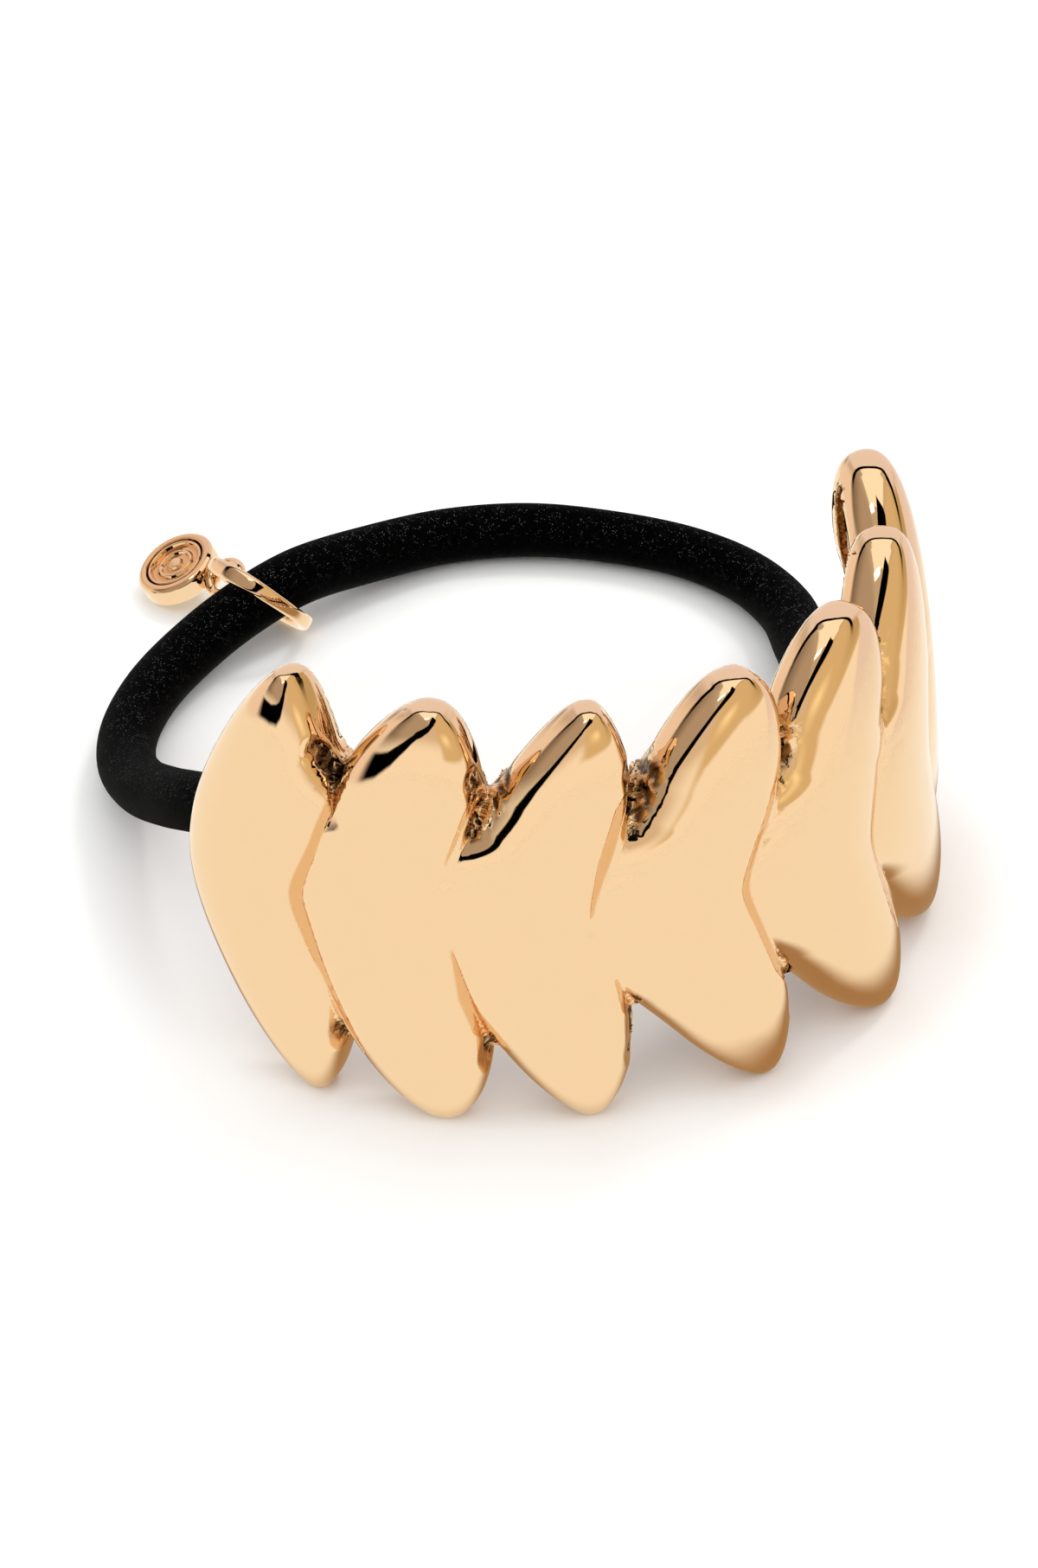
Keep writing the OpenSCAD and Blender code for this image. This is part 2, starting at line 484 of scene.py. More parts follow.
@dataclass(frozen=True)
class PhotoCamera:
    """The photograph's camera: a long lens looking down at the front."""

    millimetres_a_pixel: float = 0.057
    picture_height: int = 1813
    reach_pixels: float = 9000.0
    elevation: float = 33.5
    aim_height: float = 15.73
    tilt_up: float = 0.770
    turn_right: float = 0.035
    sensor: float = 36.0
    nearest: float = 0.01

    def place(self) -> None:
        """Places the camera and makes it the scene's."""
        reach = self.reach_pixels * self.millimetres_a_pixel
        angle = math.radians(self.elevation)
        data = bpy.data.cameras.new("photo_camera")
        data.sensor_fit = "VERTICAL"
        data.sensor_height = self.sensor
        data.lens = self.sensor * self.reach_pixels / self.picture_height
        data.clip_start = self.nearest
        camera = bpy.data.objects.new("photo_camera", data)
        height = self.aim_height + reach * math.sin(angle)
        camera.location = (AXIS + Vector((0, -reach * math.cos(angle), height))) * MM
        tilt = math.radians(90.0 - self.elevation - self.tilt_up)
        camera.rotation_euler = (tilt, 0.0, -math.radians(self.turn_right))
        bpy.context.scene.collection.objects.link(camera)
        bpy.context.scene.camera = camera


@dataclass
class ElasticCord:
    """The closed loop of round knitted elastic, with its sizes in millimetres."""

    diameter: float = 4.1
    inset: float = 0.02
    steps_a_span: int = 34
    sides: int = 56
    path_steps: int = 96
    length_steps: int = 400
    route: Sequence[Station] = field(default=ROUTE)

    def station(self, share: float) -> Array:
        """Finds a place on the smooth curve through the route.

        Args:
            share: The share of the way round.

        Returns:
            x, y, z and the share of the full diameter there.
        """
        count = len(self.route)
        place = (share % 1.0) * count
        k = math.floor(place)
        t = place - k
        a, b, c, d = (np.array(self.route[(k + i) % count]) for i in (-1, 0, 1, 2))
        curve = 2 * b + (c - a) * t + (2 * a - 5 * b + 4 * c - d) * t * t
        return 0.5 * (curve + (3 * b - a - 3 * c + d) * t**3)

    def path(self, steps: int) -> list[Point]:
        """Returns so many points of the centre line in metres, once round."""
        spots = (Vector(self.station(k / steps)[:3]) for k in range(steps))
        return [tuple((spot + AXIS) * MM) for spot in spots]

    def ring_frames(self, count: int) -> list[tuple[Vector, Vector, Vector, float]]:
        """Sets up the rings of points round the cord.

        Args:
            count: How many rings there are, once round.

        Returns:
            Each ring's centre, side, up and radius.
        """
        frames = []
        for k in range(count + 1):
            here = self.station(k / count)
            ahead, behind = self.station((k + 0.5) / count), self.station((k - 0.5) / count)
            along = Vector(ahead[:3] - behind[:3]).normalized()
            side = along.cross(UPWARD).normalized()
            radius = float(self.diameter / 2 * here[3]) - self.inset
            frames.append((Vector(here[:3]), side, side.cross(along), radius))
        return frames

    def build(self) -> Piece:
        """Wraps a grid round the route and closes its seams.

        Returns:
            The cord.
        """
        count = len(self.route) * self.steps_a_span
        frames = self.ring_frames(count)
        bm = bmesh.new()
        bm.loops.layers.uv.new("UVMap")
        bmesh.ops.create_grid(bm, x_segments=count, y_segments=self.sides, size=1.0, calc_uvs=True)
        for vert in bm.verts:
            centre, side, up, radius = frames[round((vert.co.x + 1) / 2 * count)]
            turn = math.pi * (vert.co.y + 1)
            spot = centre + radius * (math.cos(turn) * side + math.sin(turn) * up)
            vert.co = (spot + AXIS) * MM
        bmesh.ops.remove_doubles(bm, verts=bm.verts, dist=WELD * MM)
        bmesh.ops.recalc_face_normals(bm, faces=bm.faces)
        return new_piece("knitted_cord", bm)

    def length(self) -> float:
        """Returns the length of the centre line in metres."""
        points = [Vector(p) for p in self.path(self.length_steps)]
        return sum((b - a).length for a, b in zip(points, points[1:] + points[:1]))

    def dress(self, piece: Piece, charms: Iterable[Piece]) -> None:
        """Args:
            piece: The cord.
            charms: The pieces that hang on it. Not used.
        """
        piece.data.materials.append(BlackElastic().make())
        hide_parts("elastic_cord")
        points = self.path(self.path_steps)
        self.length()


@dataclass(frozen=True)
class Lobe:
    """One leaning lobe, with angles in degrees to the right of the front."""

    middle: float
    upper: float
    lower: float
    upper_narrow: float
    lower_narrow: float
    lower_out: float
    shift: float = 0.0


LOBES = (
    Lobe(-39.0, -36.5, -28.0, 0.4, 0.45, 0.0, 0.0),
    Lobe(-19.0, -13.0, -9.5, 0.1, 0.1, 0.5, -1.2),
    Lobe(3.0, 11.0, 10.5, 0.3, 0.3, 0.2, -3.0),
    Lobe(26.0, 35.0, 36.0, 0.0, 0.3, 0.5, -4.0),
    Lobe(49.0, 59.0, 59.0, -0.2, 0.1, 1.1, -3.3),
    Lobe(72.0, 82.5, 83.5, 0.1, -0.25, 0.4, -2.0),
    Lobe(93.0, 104.5, 101.0, -0.2, 0.1, 0.0, 0.0),
)


@dataclass(frozen=True)
class Valley:
    """The bent line where one lobe meets the next.

    The line is leftmost at its apex and runs to the right above and below it,
    by so many degrees a millimetre of height. The groove along it is so wide
    at each listed height, and the lobes melt together round the soft height.
    """

    apex_z: float
    apex: float
    rise: float
    fall: float
    widths: tuple[Span, ...]
    soft_z: float = 0.0
    soft: float = 0.0
    soft_reach: float = 2.0

    def angle(self, z: Array) -> Array:
        """Follows the line.

        Args:
            z: Heights in millimetres.

        Returns:
            The line's angles in degrees.
        """
        away = z - self.apex_z
        steep = np.where(away > 0, self.rise, self.fall)
        return self.apex + steep * (np.sqrt(away * away + 1.0) - 1.0)

    def groove_width(self, z: Array) -> Array:
        """Returns the groove's width at heights in millimetres."""
        levels, widths = zip(*self.widths)
        return np.interp(z, levels, widths)

    def melting(self, z: Array) -> Array:
        """Returns how much more softly the lobes meet at heights z."""
        away = np.abs((z - self.soft_z) / self.soft_reach)
        return self.soft * np.exp(-(away**2.4))


VALLEYS = (
    Valley(
        15.0, -29.9, 0.72, 1.0,
        ((4.0, 0.0), (6.0, 0.5), (10.0, 0.45), (15.0, 0.75), (19.0, 0.5), (22.0, 0.6), (24.5, 0.0)),
    ),
    Valley(
        17.0, -10.8, 0.9, 0.77,
        (
            (5.0, 0.0), (7.0, 0.7), (9.5, 0.7), (13.4, 0.0),
            (18.4, 0.0), (21.0, 0.16), (23.0, 0.3), (24.5, 0.0),
        ),
        16.0, 1.1, 2.6,
    ),
    Valley(
        14.9, 10.2, 0.74, 0.95,
        ((6.0, 0.0), (8.0, 0.6), (10.9, 0.0), (14.7, 0.0), (19.5, 0.75), (23.0, 0.75), (24.5, 0.0)),
        12.7, 1.0, 2.0,
    ),
    Valley(
        15.0, 33.1, 1.0, 0.84,
        ((6.0, 0.0), (8.0, 0.5), (12.0, 0.45), (15.0, 0.55), (21.0, 0.42), (24.0, 0.0)),
    ),
    Valley(13.3, 57.6, 0.67, 0.57, ((5.0, 0.0), (7.0, 0.4), (21.0, 0.35), (24.0, 0.0))),
    Valley(14.0, 81.5, 0.8, 0.7, ((5.0, 0.0), (7.0, 0.4), (21.0, 0.35), (24.0, 0.0))),
)


def soft_max(a: Array, b: Array, reach: float | Array) -> Array:
    """Joins two fields by the larger one, rounded where they cross.

    Args:
        a: One field.
        b: The other field.
        reach: The difference under which they are rounded together.

    Returns:
        The joint field.
    """
    share = np.clip(0.5 + 0.5 * (a - b) / reach, 0.0, 1.0)
    return b + (a - b) * share + reach * share * (1.0 - share)


def soft_min(a: Array, b: Array, reach: float | Array) -> Array:
    """Returns the smaller of two fields, rounded where they cross."""
    return -soft_max(-a, -b, reach)


def smooth(value: Array, low: float | Array, high: float | Array) -> Array:
    """Returns a smooth step from 0 at low to 1 at high, which may run down."""
    share = np.clip((value - low) / (high - low), 0.0, 1.0)
    return share * share * (3 - 2 * share)


def rounded(a: Array, b: Array, power: float | Array) -> Array:
    """Returns how far out two shares from 0 up lie together, as in a rounded square."""
    return (a**power + b**power + TINY) ** (1 / power)


def lumps(points: Array, seed: int) -> Array:
    """Makes even noise with lumps about one unit wide.

    Args:
        points: Where it is wanted.
        seed: Which noise.

    Returns:
        Its height at each point, from -1 to 1.
    """
    scatter, count = (73856093, 19349663, 83492791), 4096
    table = np.random.RandomState(seed).uniform(-1, 1, count)
    corner = np.floor(points).astype(np.int64)
    part = smooth(points - corner, 0.0, 1.0)
    total = np.zeros(len(points))
    for step in np.ndindex(2, 2, 2):
        spot = (corner + step) * scatter
        mark = spot[:, 0] ^ spot[:, 1] ^ spot[:, 2]
        weight = np.prod(np.where(np.array(step) == 1, part, 1 - part), axis=1)
        total += weight * table[mark & (count - 1)]
    return total


def spots(bm: BMesh) -> Array:
    """Returns the places of a bmesh's points."""
    return np.array([v.co for v in bm.verts])


def swept(
    bm: BMesh,
    outline: Sequence[bmesh.types.BMVert],
    centre: Vector,
    axis: Vector,
    degrees: float,
    steps: int,
) -> dict[str, list]:
    """Turns an outline of points round an axis.

    Args:
        bm: The mesh that holds the outline.
        outline: The outline's points, whose edges and faces turn with them.
        centre: A point on the axis.
        axis: The axis.
        degrees: How far it turns.
        steps: In how many steps.

    Returns:
        What the spin made.
    """
    edges = dict.fromkeys(edge for vert in outline for edge in vert.link_edges)
    faces = dict.fromkeys(face for vert in outline for face in vert.link_faces)
    return bmesh.ops.spin(
        bm,
        geom=[*outline, *edges, *faces],
        cent=centre,
        axis=axis,
        angle=math.radians(degrees),
        steps=steps,
        use_merge=degrees >= 360,
    )


@dataclass
class Cuff:
    """The cast cuff, whose surface is one field of distances in millimetres.

    Heights u run from -1 at the foot to 1 at the top. Radii are from the arc's
    axis, and widths run along the arc at its middle radius. A span says where
    something starts and where it is full.
    """

    height: float = 29.3
    upper_tip_r: float = 24.1
    lower_tip_r: float = 26.4
    crown: float = 2.6
    half_width: float = 6.4
    least_turn: float = 2.0
    free_tip: float = 0.97
    joined_tip: float = 0.9
    past_tip: float = 1.3
    bend_soft: float = 0.2
    waist_high: float = 0.68
    full_left: float = 2.2
    full_right: float = 2.6
    blunt: float = 3.0
    finger_deep: float = 0.5
    finger_span: Span = (0.15, 0.6)
    valley_level: float = 0.75
    joined_above: Span = (0.32, 0.68)
    joined_above_left: Span = (0.0, 0.6)
    joined_below: Span = (0.08, 0.46)
    joint_soft: float = 0.10
    left_slim: Point = (0.18, 0.34, 0.2)
    flank_slant: float = 25.0
    flank_from: float = 0.66
    flank_over: float = 0.2
    flank_past: float = 1.5
    edge: float = 0.12
    hollow_w: float = 0.55
    hollow_h: float = 0.9
    hollow_front: float = 1.4
    hollow_back: float = 7.0
    hollow_square: float = 2.5
    rim_back: float = 1.8
    rim_grow: float = 1.6
    rim_soft: float = 0.2
    web_front: float = 1.5
    web_back: float = 2.4
    web_foot: float = 17.5
    web_top: float = 20.2
    web_slope: float = 0.77
    web_soft: float = 1.2
    web_round: float = 0.6
    web_ends: float = 0.4
    web_sunk: float = 0.8
    web_sunk_high: float = 1.7
    groove_deep: float = 0.05
    groove_past: float = 0.06
    groove_edge: float = 0.05
    web_rough: tuple[Span, Span] = ((0.45, 0.1), (19.9, 21.0))
    flank_high: tuple[Span, Span] = ((20.0, 21.2), (26.6, 25.0))
    flank_low: tuple[Span, Span] = ((7.8, 6.8), (2.4, 3.6))
    flank_near: Span = (0.5, 0.1)
    flank_across: Span = (0.6, 0.75)
    flank_inside: Span = (0.0, 0.06)
    strip_rough: float = 0.8
    strip_across: Span = (0.74, 0.86)
    strip_near: Span = (0.3, 0.1)
    strip_high: tuple[Span, Span] = ((19.8, 20.8), (25.6, 24.2))
    hollow_rough: float = 0.35
    hollow_near: Span = (0.3, 0.0)
    facet: float = 0.27
    facet_scale: Point = (1.25, 0.55, 0.9)
    rib_scale: Point = (2.6, 0.8, 1.1)
    rib_shift: Point = (0.0, 0.0, 9.0)
    grain: float = 0.06
    grain_scale: float = 4.4
    pit_deep: Span = (0.0, 0.06)
    pit_rough: Span = (0.4, 0.7)
    voxel: float = 0.35
    slope_step: float = 0.02
    normal_step: float = 0.012
    flattest: float = 0.03
    longest_move: float = 0.4
    groove_step: float = 0.3
    turns: tuple[Span, ...] = ((20.0, 0.16), (22.0, 0.10))
    most_faces: int = 197000
    lobes: Sequence[Lobe] = field(default=LOBES)
    valleys: Sequence[Valley] = field(default=VALLEYS)

    @property
    def mid_r(self) -> float:
        """Radius at which a width along the arc becomes an angle."""
        return (self.upper_tip_r + self.lower_tip_r) / 2

    def up(self, z: Array) -> Array:
        """Returns heights in millimetres as heights u."""
        return 2 * z / self.height - 1

    def tilt(self, u: Array) -> Array:
        """Returns how far out of the middle radius the tips' line is at heights u."""
        return (self.upper_tip_r - self.lower_tip_r) / 2 * u

    def bent(self, u: Array) -> Array:
        """Returns how far a lobe has bent towards a tip, from 0 to 1."""
        k = self.bend_soft
        return (np.sqrt(u * u + k * k) - k) / (math.sqrt(1 + k * k) - k)

    def swell(self, u: Array) -> Array:
        """Returns a section's share of the full size, from 1 to 0 at the tips."""
        return np.clip(1 - np.abs(u) ** self.blunt, 0, 1) ** (1 / self.blunt)

    def sink(self, u: Array) -> Array:
        """Returns how far the middle of a section lies behind the tips' line."""
        return self.finger_deep * smooth(np.abs(u), *self.finger_span)

    def spine(self, lobe: Lobe, u: Array) -> tuple[Array, Array]:
        """Follows the middle of a lobe.

        Args:
            lobe: Which lobe.
            u: Heights.

        Returns:
            Its angles in degrees and its radii.
        """
        lean = np.where(u > 0, lobe.upper - lobe.middle, lobe.lower - lobe.middle)
        waist = np.clip(1 - (u / self.waist_high) ** 2, 0, 1) ** 2
        angle = lobe.middle + lean * self.bent(np.abs(u)) + lobe.shift * waist
        out = np.where(u < 0, lobe.lower_out * u * u, 0.0)
        return angle, self.mid_r + self.tilt(u) + out

    def free_half(self, lobe: Lobe, u: Array) -> Array:
        """Measures a lobe where no other joins it.

        Args:
            lobe: Which lobe.
            u: Heights.

        Returns:
            Its half widths.
        """
        narrow = np.where(u > 0, lobe.upper_narrow, lobe.lower_narrow)
        free = self.half_width * (1 - narrow * np.minimum(u * u, 1.0))
        near = np.minimum(np.abs(u), self.free_tip)
        return free * np.sqrt(1 - near * near) / self.swell(near)

    def half_widths(self, lobe: Lobe, u: Array) -> tuple[Array, Array]:
        """Measures a lobe to its left and right.

        Where lobes are joined, each half is as wide as brings the two skins
        together on the valley's line. The tips have widths of their own.

        Args:
            lobe: Which lobe.
            u: Heights.

        Returns:
            Its half widths to the left and to the right.
        """
        angle, _ = self.spine(lobe, u)
        away = np.abs(u)
        free = self.free_half(lobe, u)
        swell = self.swell(np.minimum(away, self.joined_tip))
        index = self.lobes.index(lobe)
        depth, middle, spread = self.left_slim
        slim = 1 - depth * np.exp(-(((u - middle) / spread) ** 2))
        halves = []
        for valley_at, side, full, above, alone in (
            (index - 1, -1, self.full_left, self.joined_above_left, free * slim),
            (index, 1, self.full_right, self.joined_above, free),
        ):
            if not 0 <= valley_at < len(self.valleys):
                halves.append(free)
                continue
            joined, parted = (np.where(u > 0, *ends) for ends in zip(above, self.joined_below))
            line = self.valleys[valley_at].angle(self.height / 2 * (1 + u))
            reach = np.radians(np.maximum(side * (line - angle), self.least_turn)) * self.mid_r
            meet = (1 - self.valley_level**full) ** (1 / full)
            halves.append(alone + (reach / (meet * swell) - alone) * smooth(away, parted, joined))
        return halves[0], halves[1]

    def local(self, lobe: Lobe, points: Array) -> tuple[Array, ...]:
        """Places points by a lobe's spine.

        Args:
            lobe: Which lobe.
            points: The points.

        Returns:
            Their heights, ways out, ways across and the lobe's half widths.
        """
        x, y, z = points.T
        u = self.up(z)
        capped = np.clip(u, -self.past_tip, self.past_tip)
        angle, radius = self.spine(lobe, capped)
        left, right = self.half_widths(lobe, capped)
        turned = np.degrees(np.arctan2(x, -y)) - angle
        across = np.radians(turned) * self.mid_r
        return u, np.hypot(x, y) - radius, across, np.where(across > 0, right, left)

    def section(self, lobe: Lobe, points: Array) -> tuple[Array, ...]:
        """Places points by the middle of a lobe's section at their heights.

        Args:
            lobe: Which lobe.
            points: The points.

        Returns:
            Their heights, ways out, the section's half depths, their ways
            across, its half widths and its shares of the full size.
        """
        u, out, across, wide = self.local(lobe, points)
        sink, swell = self.sink(u), self.swell(u)
        return u, out + sink * swell, self.crown + sink, across, wide, swell

    def level(self, lobe: Lobe, points: Array) -> Array:
        """Makes a field that is 0 on a lobe's rounded skin.

        Args:
            lobe: Which lobe. The last one is as round on both sides.
            points: The points.

        Returns:
            The field at the points.
        """
        u, out, deep, across, wide, _ = self.section(lobe, points)
        right = self.full_left if lobe is self.lobes[-1] else self.full_right
        full = np.where(across > 0, right, self.full_left)
        ring = rounded(np.abs(across / wide), np.abs(out / deep), full)
        return rounded(ring, np.abs(u), self.blunt) - 1

    @staticmethod
    def slope(level: Callable[[Array], Array], points: Array, step: float) -> tuple[Array, Array]:
        """Measures a field and its slopes.

        Args:
            level: The field.
            points: Where.
            step: The step over which the slopes are taken.

        Returns:
            The field's values and its slopes.
        """
        here = level(points)
        ways = np.eye(3) * step
        return here, np.stack([(level(points + way) - here) / step for way in ways], 1)

    def distance(self, level: Callable[[Array], Array], points: Array) -> Array:
        """Returns about how far points are outside the surface on which a field is 0."""
        here, slope = self.slope(level, points, self.slope_step)
        return here / np.maximum(np.linalg.norm(slope, axis=1), self.flattest)

    def lobe_distance(self, lobe: Lobe, points: Array) -> Array:
        """Measures how far points are outside a lobe with its flank cut.

        Args:
            lobe: Which lobe. The last one has no cut flank.
            points: The points.

        Returns:
            About their distances.
        """
        reach = self.distance(lambda p: self.level(lobe, p), points)
        if lobe is self.lobes[-1]:
            return reach
        u, out, _, across, wide, swell = self.section(lobe, points)
        slant = math.radians(self.flank_slant)
        wall = (across - wide * swell + math.tan(slant) * out) * math.cos(slant)
        past = np.clip((np.abs(u) - self.flank_from) / self.flank_over, 0, 1)
        wall -= self.flank_past * past**2
        return soft_max(reach, wall, self.edge)

    def on_flank(self, lobe: Lobe, points: Array) -> Array:
        """Finds a lobe's cut flank.

        Args:
            lobe: Which lobe.
            points: The points.

        Returns:
            1 on the flank and 0 on the rest of its skin.
        """
        _, out, deep, across, wide, swell = self.section(lobe, points)
        a, b = np.abs(across / wide), np.abs(out / deep)
        inside = swell - np.sqrt(a * a + b * b)
        return smooth(across / wide, *self.flank_across) * smooth(inside, *self.flank_inside)

    def web_distance(self, z: Array, turn: Array, out: Array) -> Array:
        """Measures how far points are outside the web between the upper fingers.

        Args:
            z: Their heights in millimetres.
            turn: Their angles in degrees.
            out: How far they are outside the middle radius.

        Returns:
            About their distances.
        """
        out = out - self.tilt(self.up(z))
        top = z - self.web_top + self.web_slope * (out - self.web_front)
        ends = np.maximum(self.lobes[0].middle - turn, turn - self.lobes[-1].middle)
        sunk = self.web_sunk * smooth(z, self.web_foot + self.web_sunk_high, self.web_foot)
        front = out - self.web_front + sunk
        upper = soft_max(front, top / math.hypot(1, self.web_slope), self.web_round)
        sides = [upper, -out - self.web_back, self.web_foot - z, ends * self.web_ends]
        return np.maximum.reduce(sides)

    def hollow_distance(self, lobe: Lobe, points: Array) -> Array:
        """Measures how far points are outside a lobe's hollow.

        Args:
            lobe: Which lobe.
            points: The points.

        Returns:
            About their distances.
        """

        def level(p: Array) -> Array:
            """Returns a field that is 0 on the hollow's wall."""
            u, out, across, wide = self.local(lobe, p)
            a = np.abs(across / (wide * self.hollow_w))
            b = np.where(out > 0, out / self.hollow_front, -out / self.hollow_back)
            ring = rounded(a, np.abs(b), self.hollow_square)
            return np.sqrt(ring * ring + (u / self.hollow_h) ** 2) - 1

        return self.distance(level, points)

    def grooves(self, z: Array, turn: Array) -> Array:
        """Finds the narrow grooves along the valleys.

        Args:
            z: Heights in millimetres.
            turn: Angles in degrees.

        Returns:
            How far into a groove each place is, from 0 to 1.
        """
        groove_and_shade = np.zeros(len(z))
        for valley in self.valleys:
            band = valley.groove_width(z)
            shifted = np.radians(turn - valley.angle(z)) * self.mid_r
            bend = np.radians(valley.angle(z + 0.1) - valley.angle(z - 0.1)) * self.mid_r / 0.2
            apart = shifted / np.sqrt(1 + bend * bend)
            inside = np.minimum(apart + band, self.groove_past - apart)
            there = smooth(inside, -self.groove_edge, self.groove_edge) * smooth(band, 0.0, 0.1)
            groove_and_shade = np.maximum(groove_and_shade, there)
        return groove_and_shade

    def rough_places(self, points: Array, ways: list[Array], whole: Array, web: Array) -> Array:
        """Finds where the front is left as it was cast.

        Args:
            points: The points.
            ways: Their distances from each lobe.
            whole: Their distances from the joined lobes and web.
            web: Their distances from the web.

        Returns:
            How roughly each point is cast, from 0 to 1.
        """
        z = points[:, 2]
        near, above = self.web_rough
        rough = smooth(web, *near) * smooth(z, *above)
        high, low = (smooth(z, *a) * smooth(z, *b) for a, b in (self.flank_high, self.flank_low))
        for lobe, way in zip(self.lobes[:-1], ways):
            close = smooth(way - whole, *self.flank_near)
            rough = np.maximum(rough, self.on_flank(lobe, points) * close * (high + low))
        rise, fall = self.strip_high
        for lobe, way in zip(self.lobes[1:], ways[1:]):
            _, _, across, wide = self.local(lobe, points)
            close = smooth(way - whole, *self.strip_near)
            strip = smooth(-across / wide, *self.strip_across) * close
            strip = self.strip_rough * strip * smooth(z, *rise) * smooth(z, *fall)
            rough = np.maximum(rough, strip)
        return rough

    def field(self, points: Array) -> tuple[Array, Array, Array]:
        """Joins the lobes and the web, and cuts the hollows and the flat rims.

        Args:
            points: The points.

        Returns:
            Their distances before the grooves, how far into a groove they are
            and how roughly they are cast.
        """
        z = points[:, 2]
        ways = [self.lobe_distance(lobe, points) for lobe in self.lobes]
        whole = ways[0]
        for valley, way in zip(self.valleys, ways[1:]):
            whole = soft_min(whole, way, self.joint_soft + valley.melting(z))
        turn = np.degrees(np.arctan2(points[:, 0], -points[:, 1]))
        out = np.hypot(points[:, 0], points[:, 1]) - self.mid_r
        web = self.web_distance(z, turn, out)
        whole = soft_min(whole, web, self.web_soft)
        groove_and_shade = self.grooves(z, turn) * np.clip(out + 0.5, 0, 1)
        rough = self.rough_places(points, ways, whole, web)
        hollow = np.min([self.hollow_distance(lobe, points) for lobe in self.lobes], axis=0)
        whole = soft_max(whole, -hollow, self.rim_soft)
        u = self.up(z)
        rim = self.rim_back + self.rim_grow * self.sink(u)
        whole = soft_max(whole, self.tilt(u) - out - rim, self.rim_soft)
        rough = np.maximum(rough, self.hollow_rough * smooth(hollow, *self.hollow_near))
        return whole, groove_and_shade, rough

    def casting(self, points: Array, rough: Array) -> Array:
        """Shapes the mould's relief.

        Args:
            points: The points.
            rough: How roughly they are cast.

        Returns:
            How deep the relief is at each.
        """
        chosen = np.nonzero(rough > 0.01)[0]
        relief = np.zeros(len(points))
        if len(chosen) == 0:
            return relief
        x, y, z = points[chosen].T
        rolled = np.stack([np.arctan2(x, -y) * self.mid_r, np.hypot(x, y), z], 1)
        facets = lumps(rolled * self.facet_scale, 3)
        ribs = lumps(rolled * self.rib_scale + self.rib_shift, 5)
        fine = lumps(rolled * self.grain_scale, 8)
        height = self.facet * (1 - 2 * np.abs(facets)) * 0.6 + self.facet * 0.55 * ribs
        relief[chosen] = (height + self.grain * fine) * rough[chosen]
        return relief

    def skin(self, points: Array) -> Array:
        """Returns the distance with the grooves and the rough casting."""
        whole, groove_and_shade, rough = self.field(points)
        return whole + self.groove_deep * groove_and_shade + self.casting(points, rough)

    def normals(self, points: Array) -> Array:
        """Returns the skin's unit normals at points."""
        _, slope = self.slope(self.skin, points, self.normal_step)
        return slope / np.maximum(np.linalg.norm(slope, axis=1), 1e-6)[:, None]

    def settle(self, bm: BMesh, rounds: int) -> None:
        """Moves a bmesh's points along the field's slope on to its skin.

        Args:
            bm: The mesh, in millimetres.
            rounds: How many times they are moved.
        """
        points = spots(bm)
        for _ in range(rounds):
            here, slope = self.slope(self.skin, points, self.slope_step)
            steep = np.maximum((slope * slope).sum(1), 0.25)
            here = np.clip(here, -self.longest_move, self.longest_move)
            points = points - slope * (here / steep)[:, None]
        for vert, spot in zip(bm.verts, points):
            vert.co = spot

    def ball(self, bm: BMesh, lobe: Lobe, shares: Station) -> None:
        """Adds a sphere shaped as a lobe.

        Args:
            bm: The mesh to add to, in millimetres.
            lobe: Which lobe.
            shares: Its share of the width, how far it stands out in front and
                behind, and its share of the height.
        """
        width, front, back, tall = shares
        verts = bmesh.ops.create_uvsphere(bm, u_segments=56, v_segments=44, radius=1.0)["verts"]
        co = np.array([v.co for v in verts])
        v = np.clip(co[:, 2], -1, 1)
        turn = np.arctan2(co[:, 1], co[:, 0])
        swell = self.swell(v) if tall == 1.0 else np.sqrt(1 - v * v)
        angle, radius = self.spine(lobe, v * tall)
        left, right = self.half_widths(lobe, v * tall)
        wide = np.where(np.cos(turn) > 0, right, left)
        across, out = (swollen(way, 0.8) * swell for way in (np.cos(turn), np.sin(turn)))
        radius = radius + out * np.where(out > 0, front, back)
        angle = np.radians(angle) + across * wide * width / self.mid_r
        z = self.height / 2 * (1 + v * tall)
        for vert, x, y, h in zip(verts, radius * np.sin(angle), -radius * np.cos(angle), z):
            vert.co = (x, y, h)

    def web(self, bm: BMesh) -> None:
        """Adds the web behind the fingers as a turned strip.

        Args:
            bm: The mesh to add to, in millimetres.
        """
        verts = bmesh.ops.create_grid(bm, x_segments=1, y_segments=1, size=1.0)["verts"]
        first, last = self.lobes[0].middle, self.lobes[-1].middle
        start = math.radians(first)
        low, high = self.web_foot, self.web_top + 1.5
        for vert in verts:
            radius = self.mid_r - 0.3 + vert.co.x * 1.5
            z = (low + high) / 2 + vert.co.y * (high - low) / 2
            vert.co = (radius * math.sin(start), -radius * math.cos(start), z)
        swept(bm, verts, Vector(), UPWARD, last - first, 60)
        bmesh.ops.recalc_face_normals(bm, faces=bm.faces)

    def remeshed(self, solid: Piece, name: str) -> None:
        """Adds an even voxel remesh to a solid.

        Args:
            solid: The solid.
            name: The modifier's name.
        """
        even = solid.modifiers.new(name, "REMESH")
        even.mode = "VOXEL"
        even.voxel_size = self.voxel

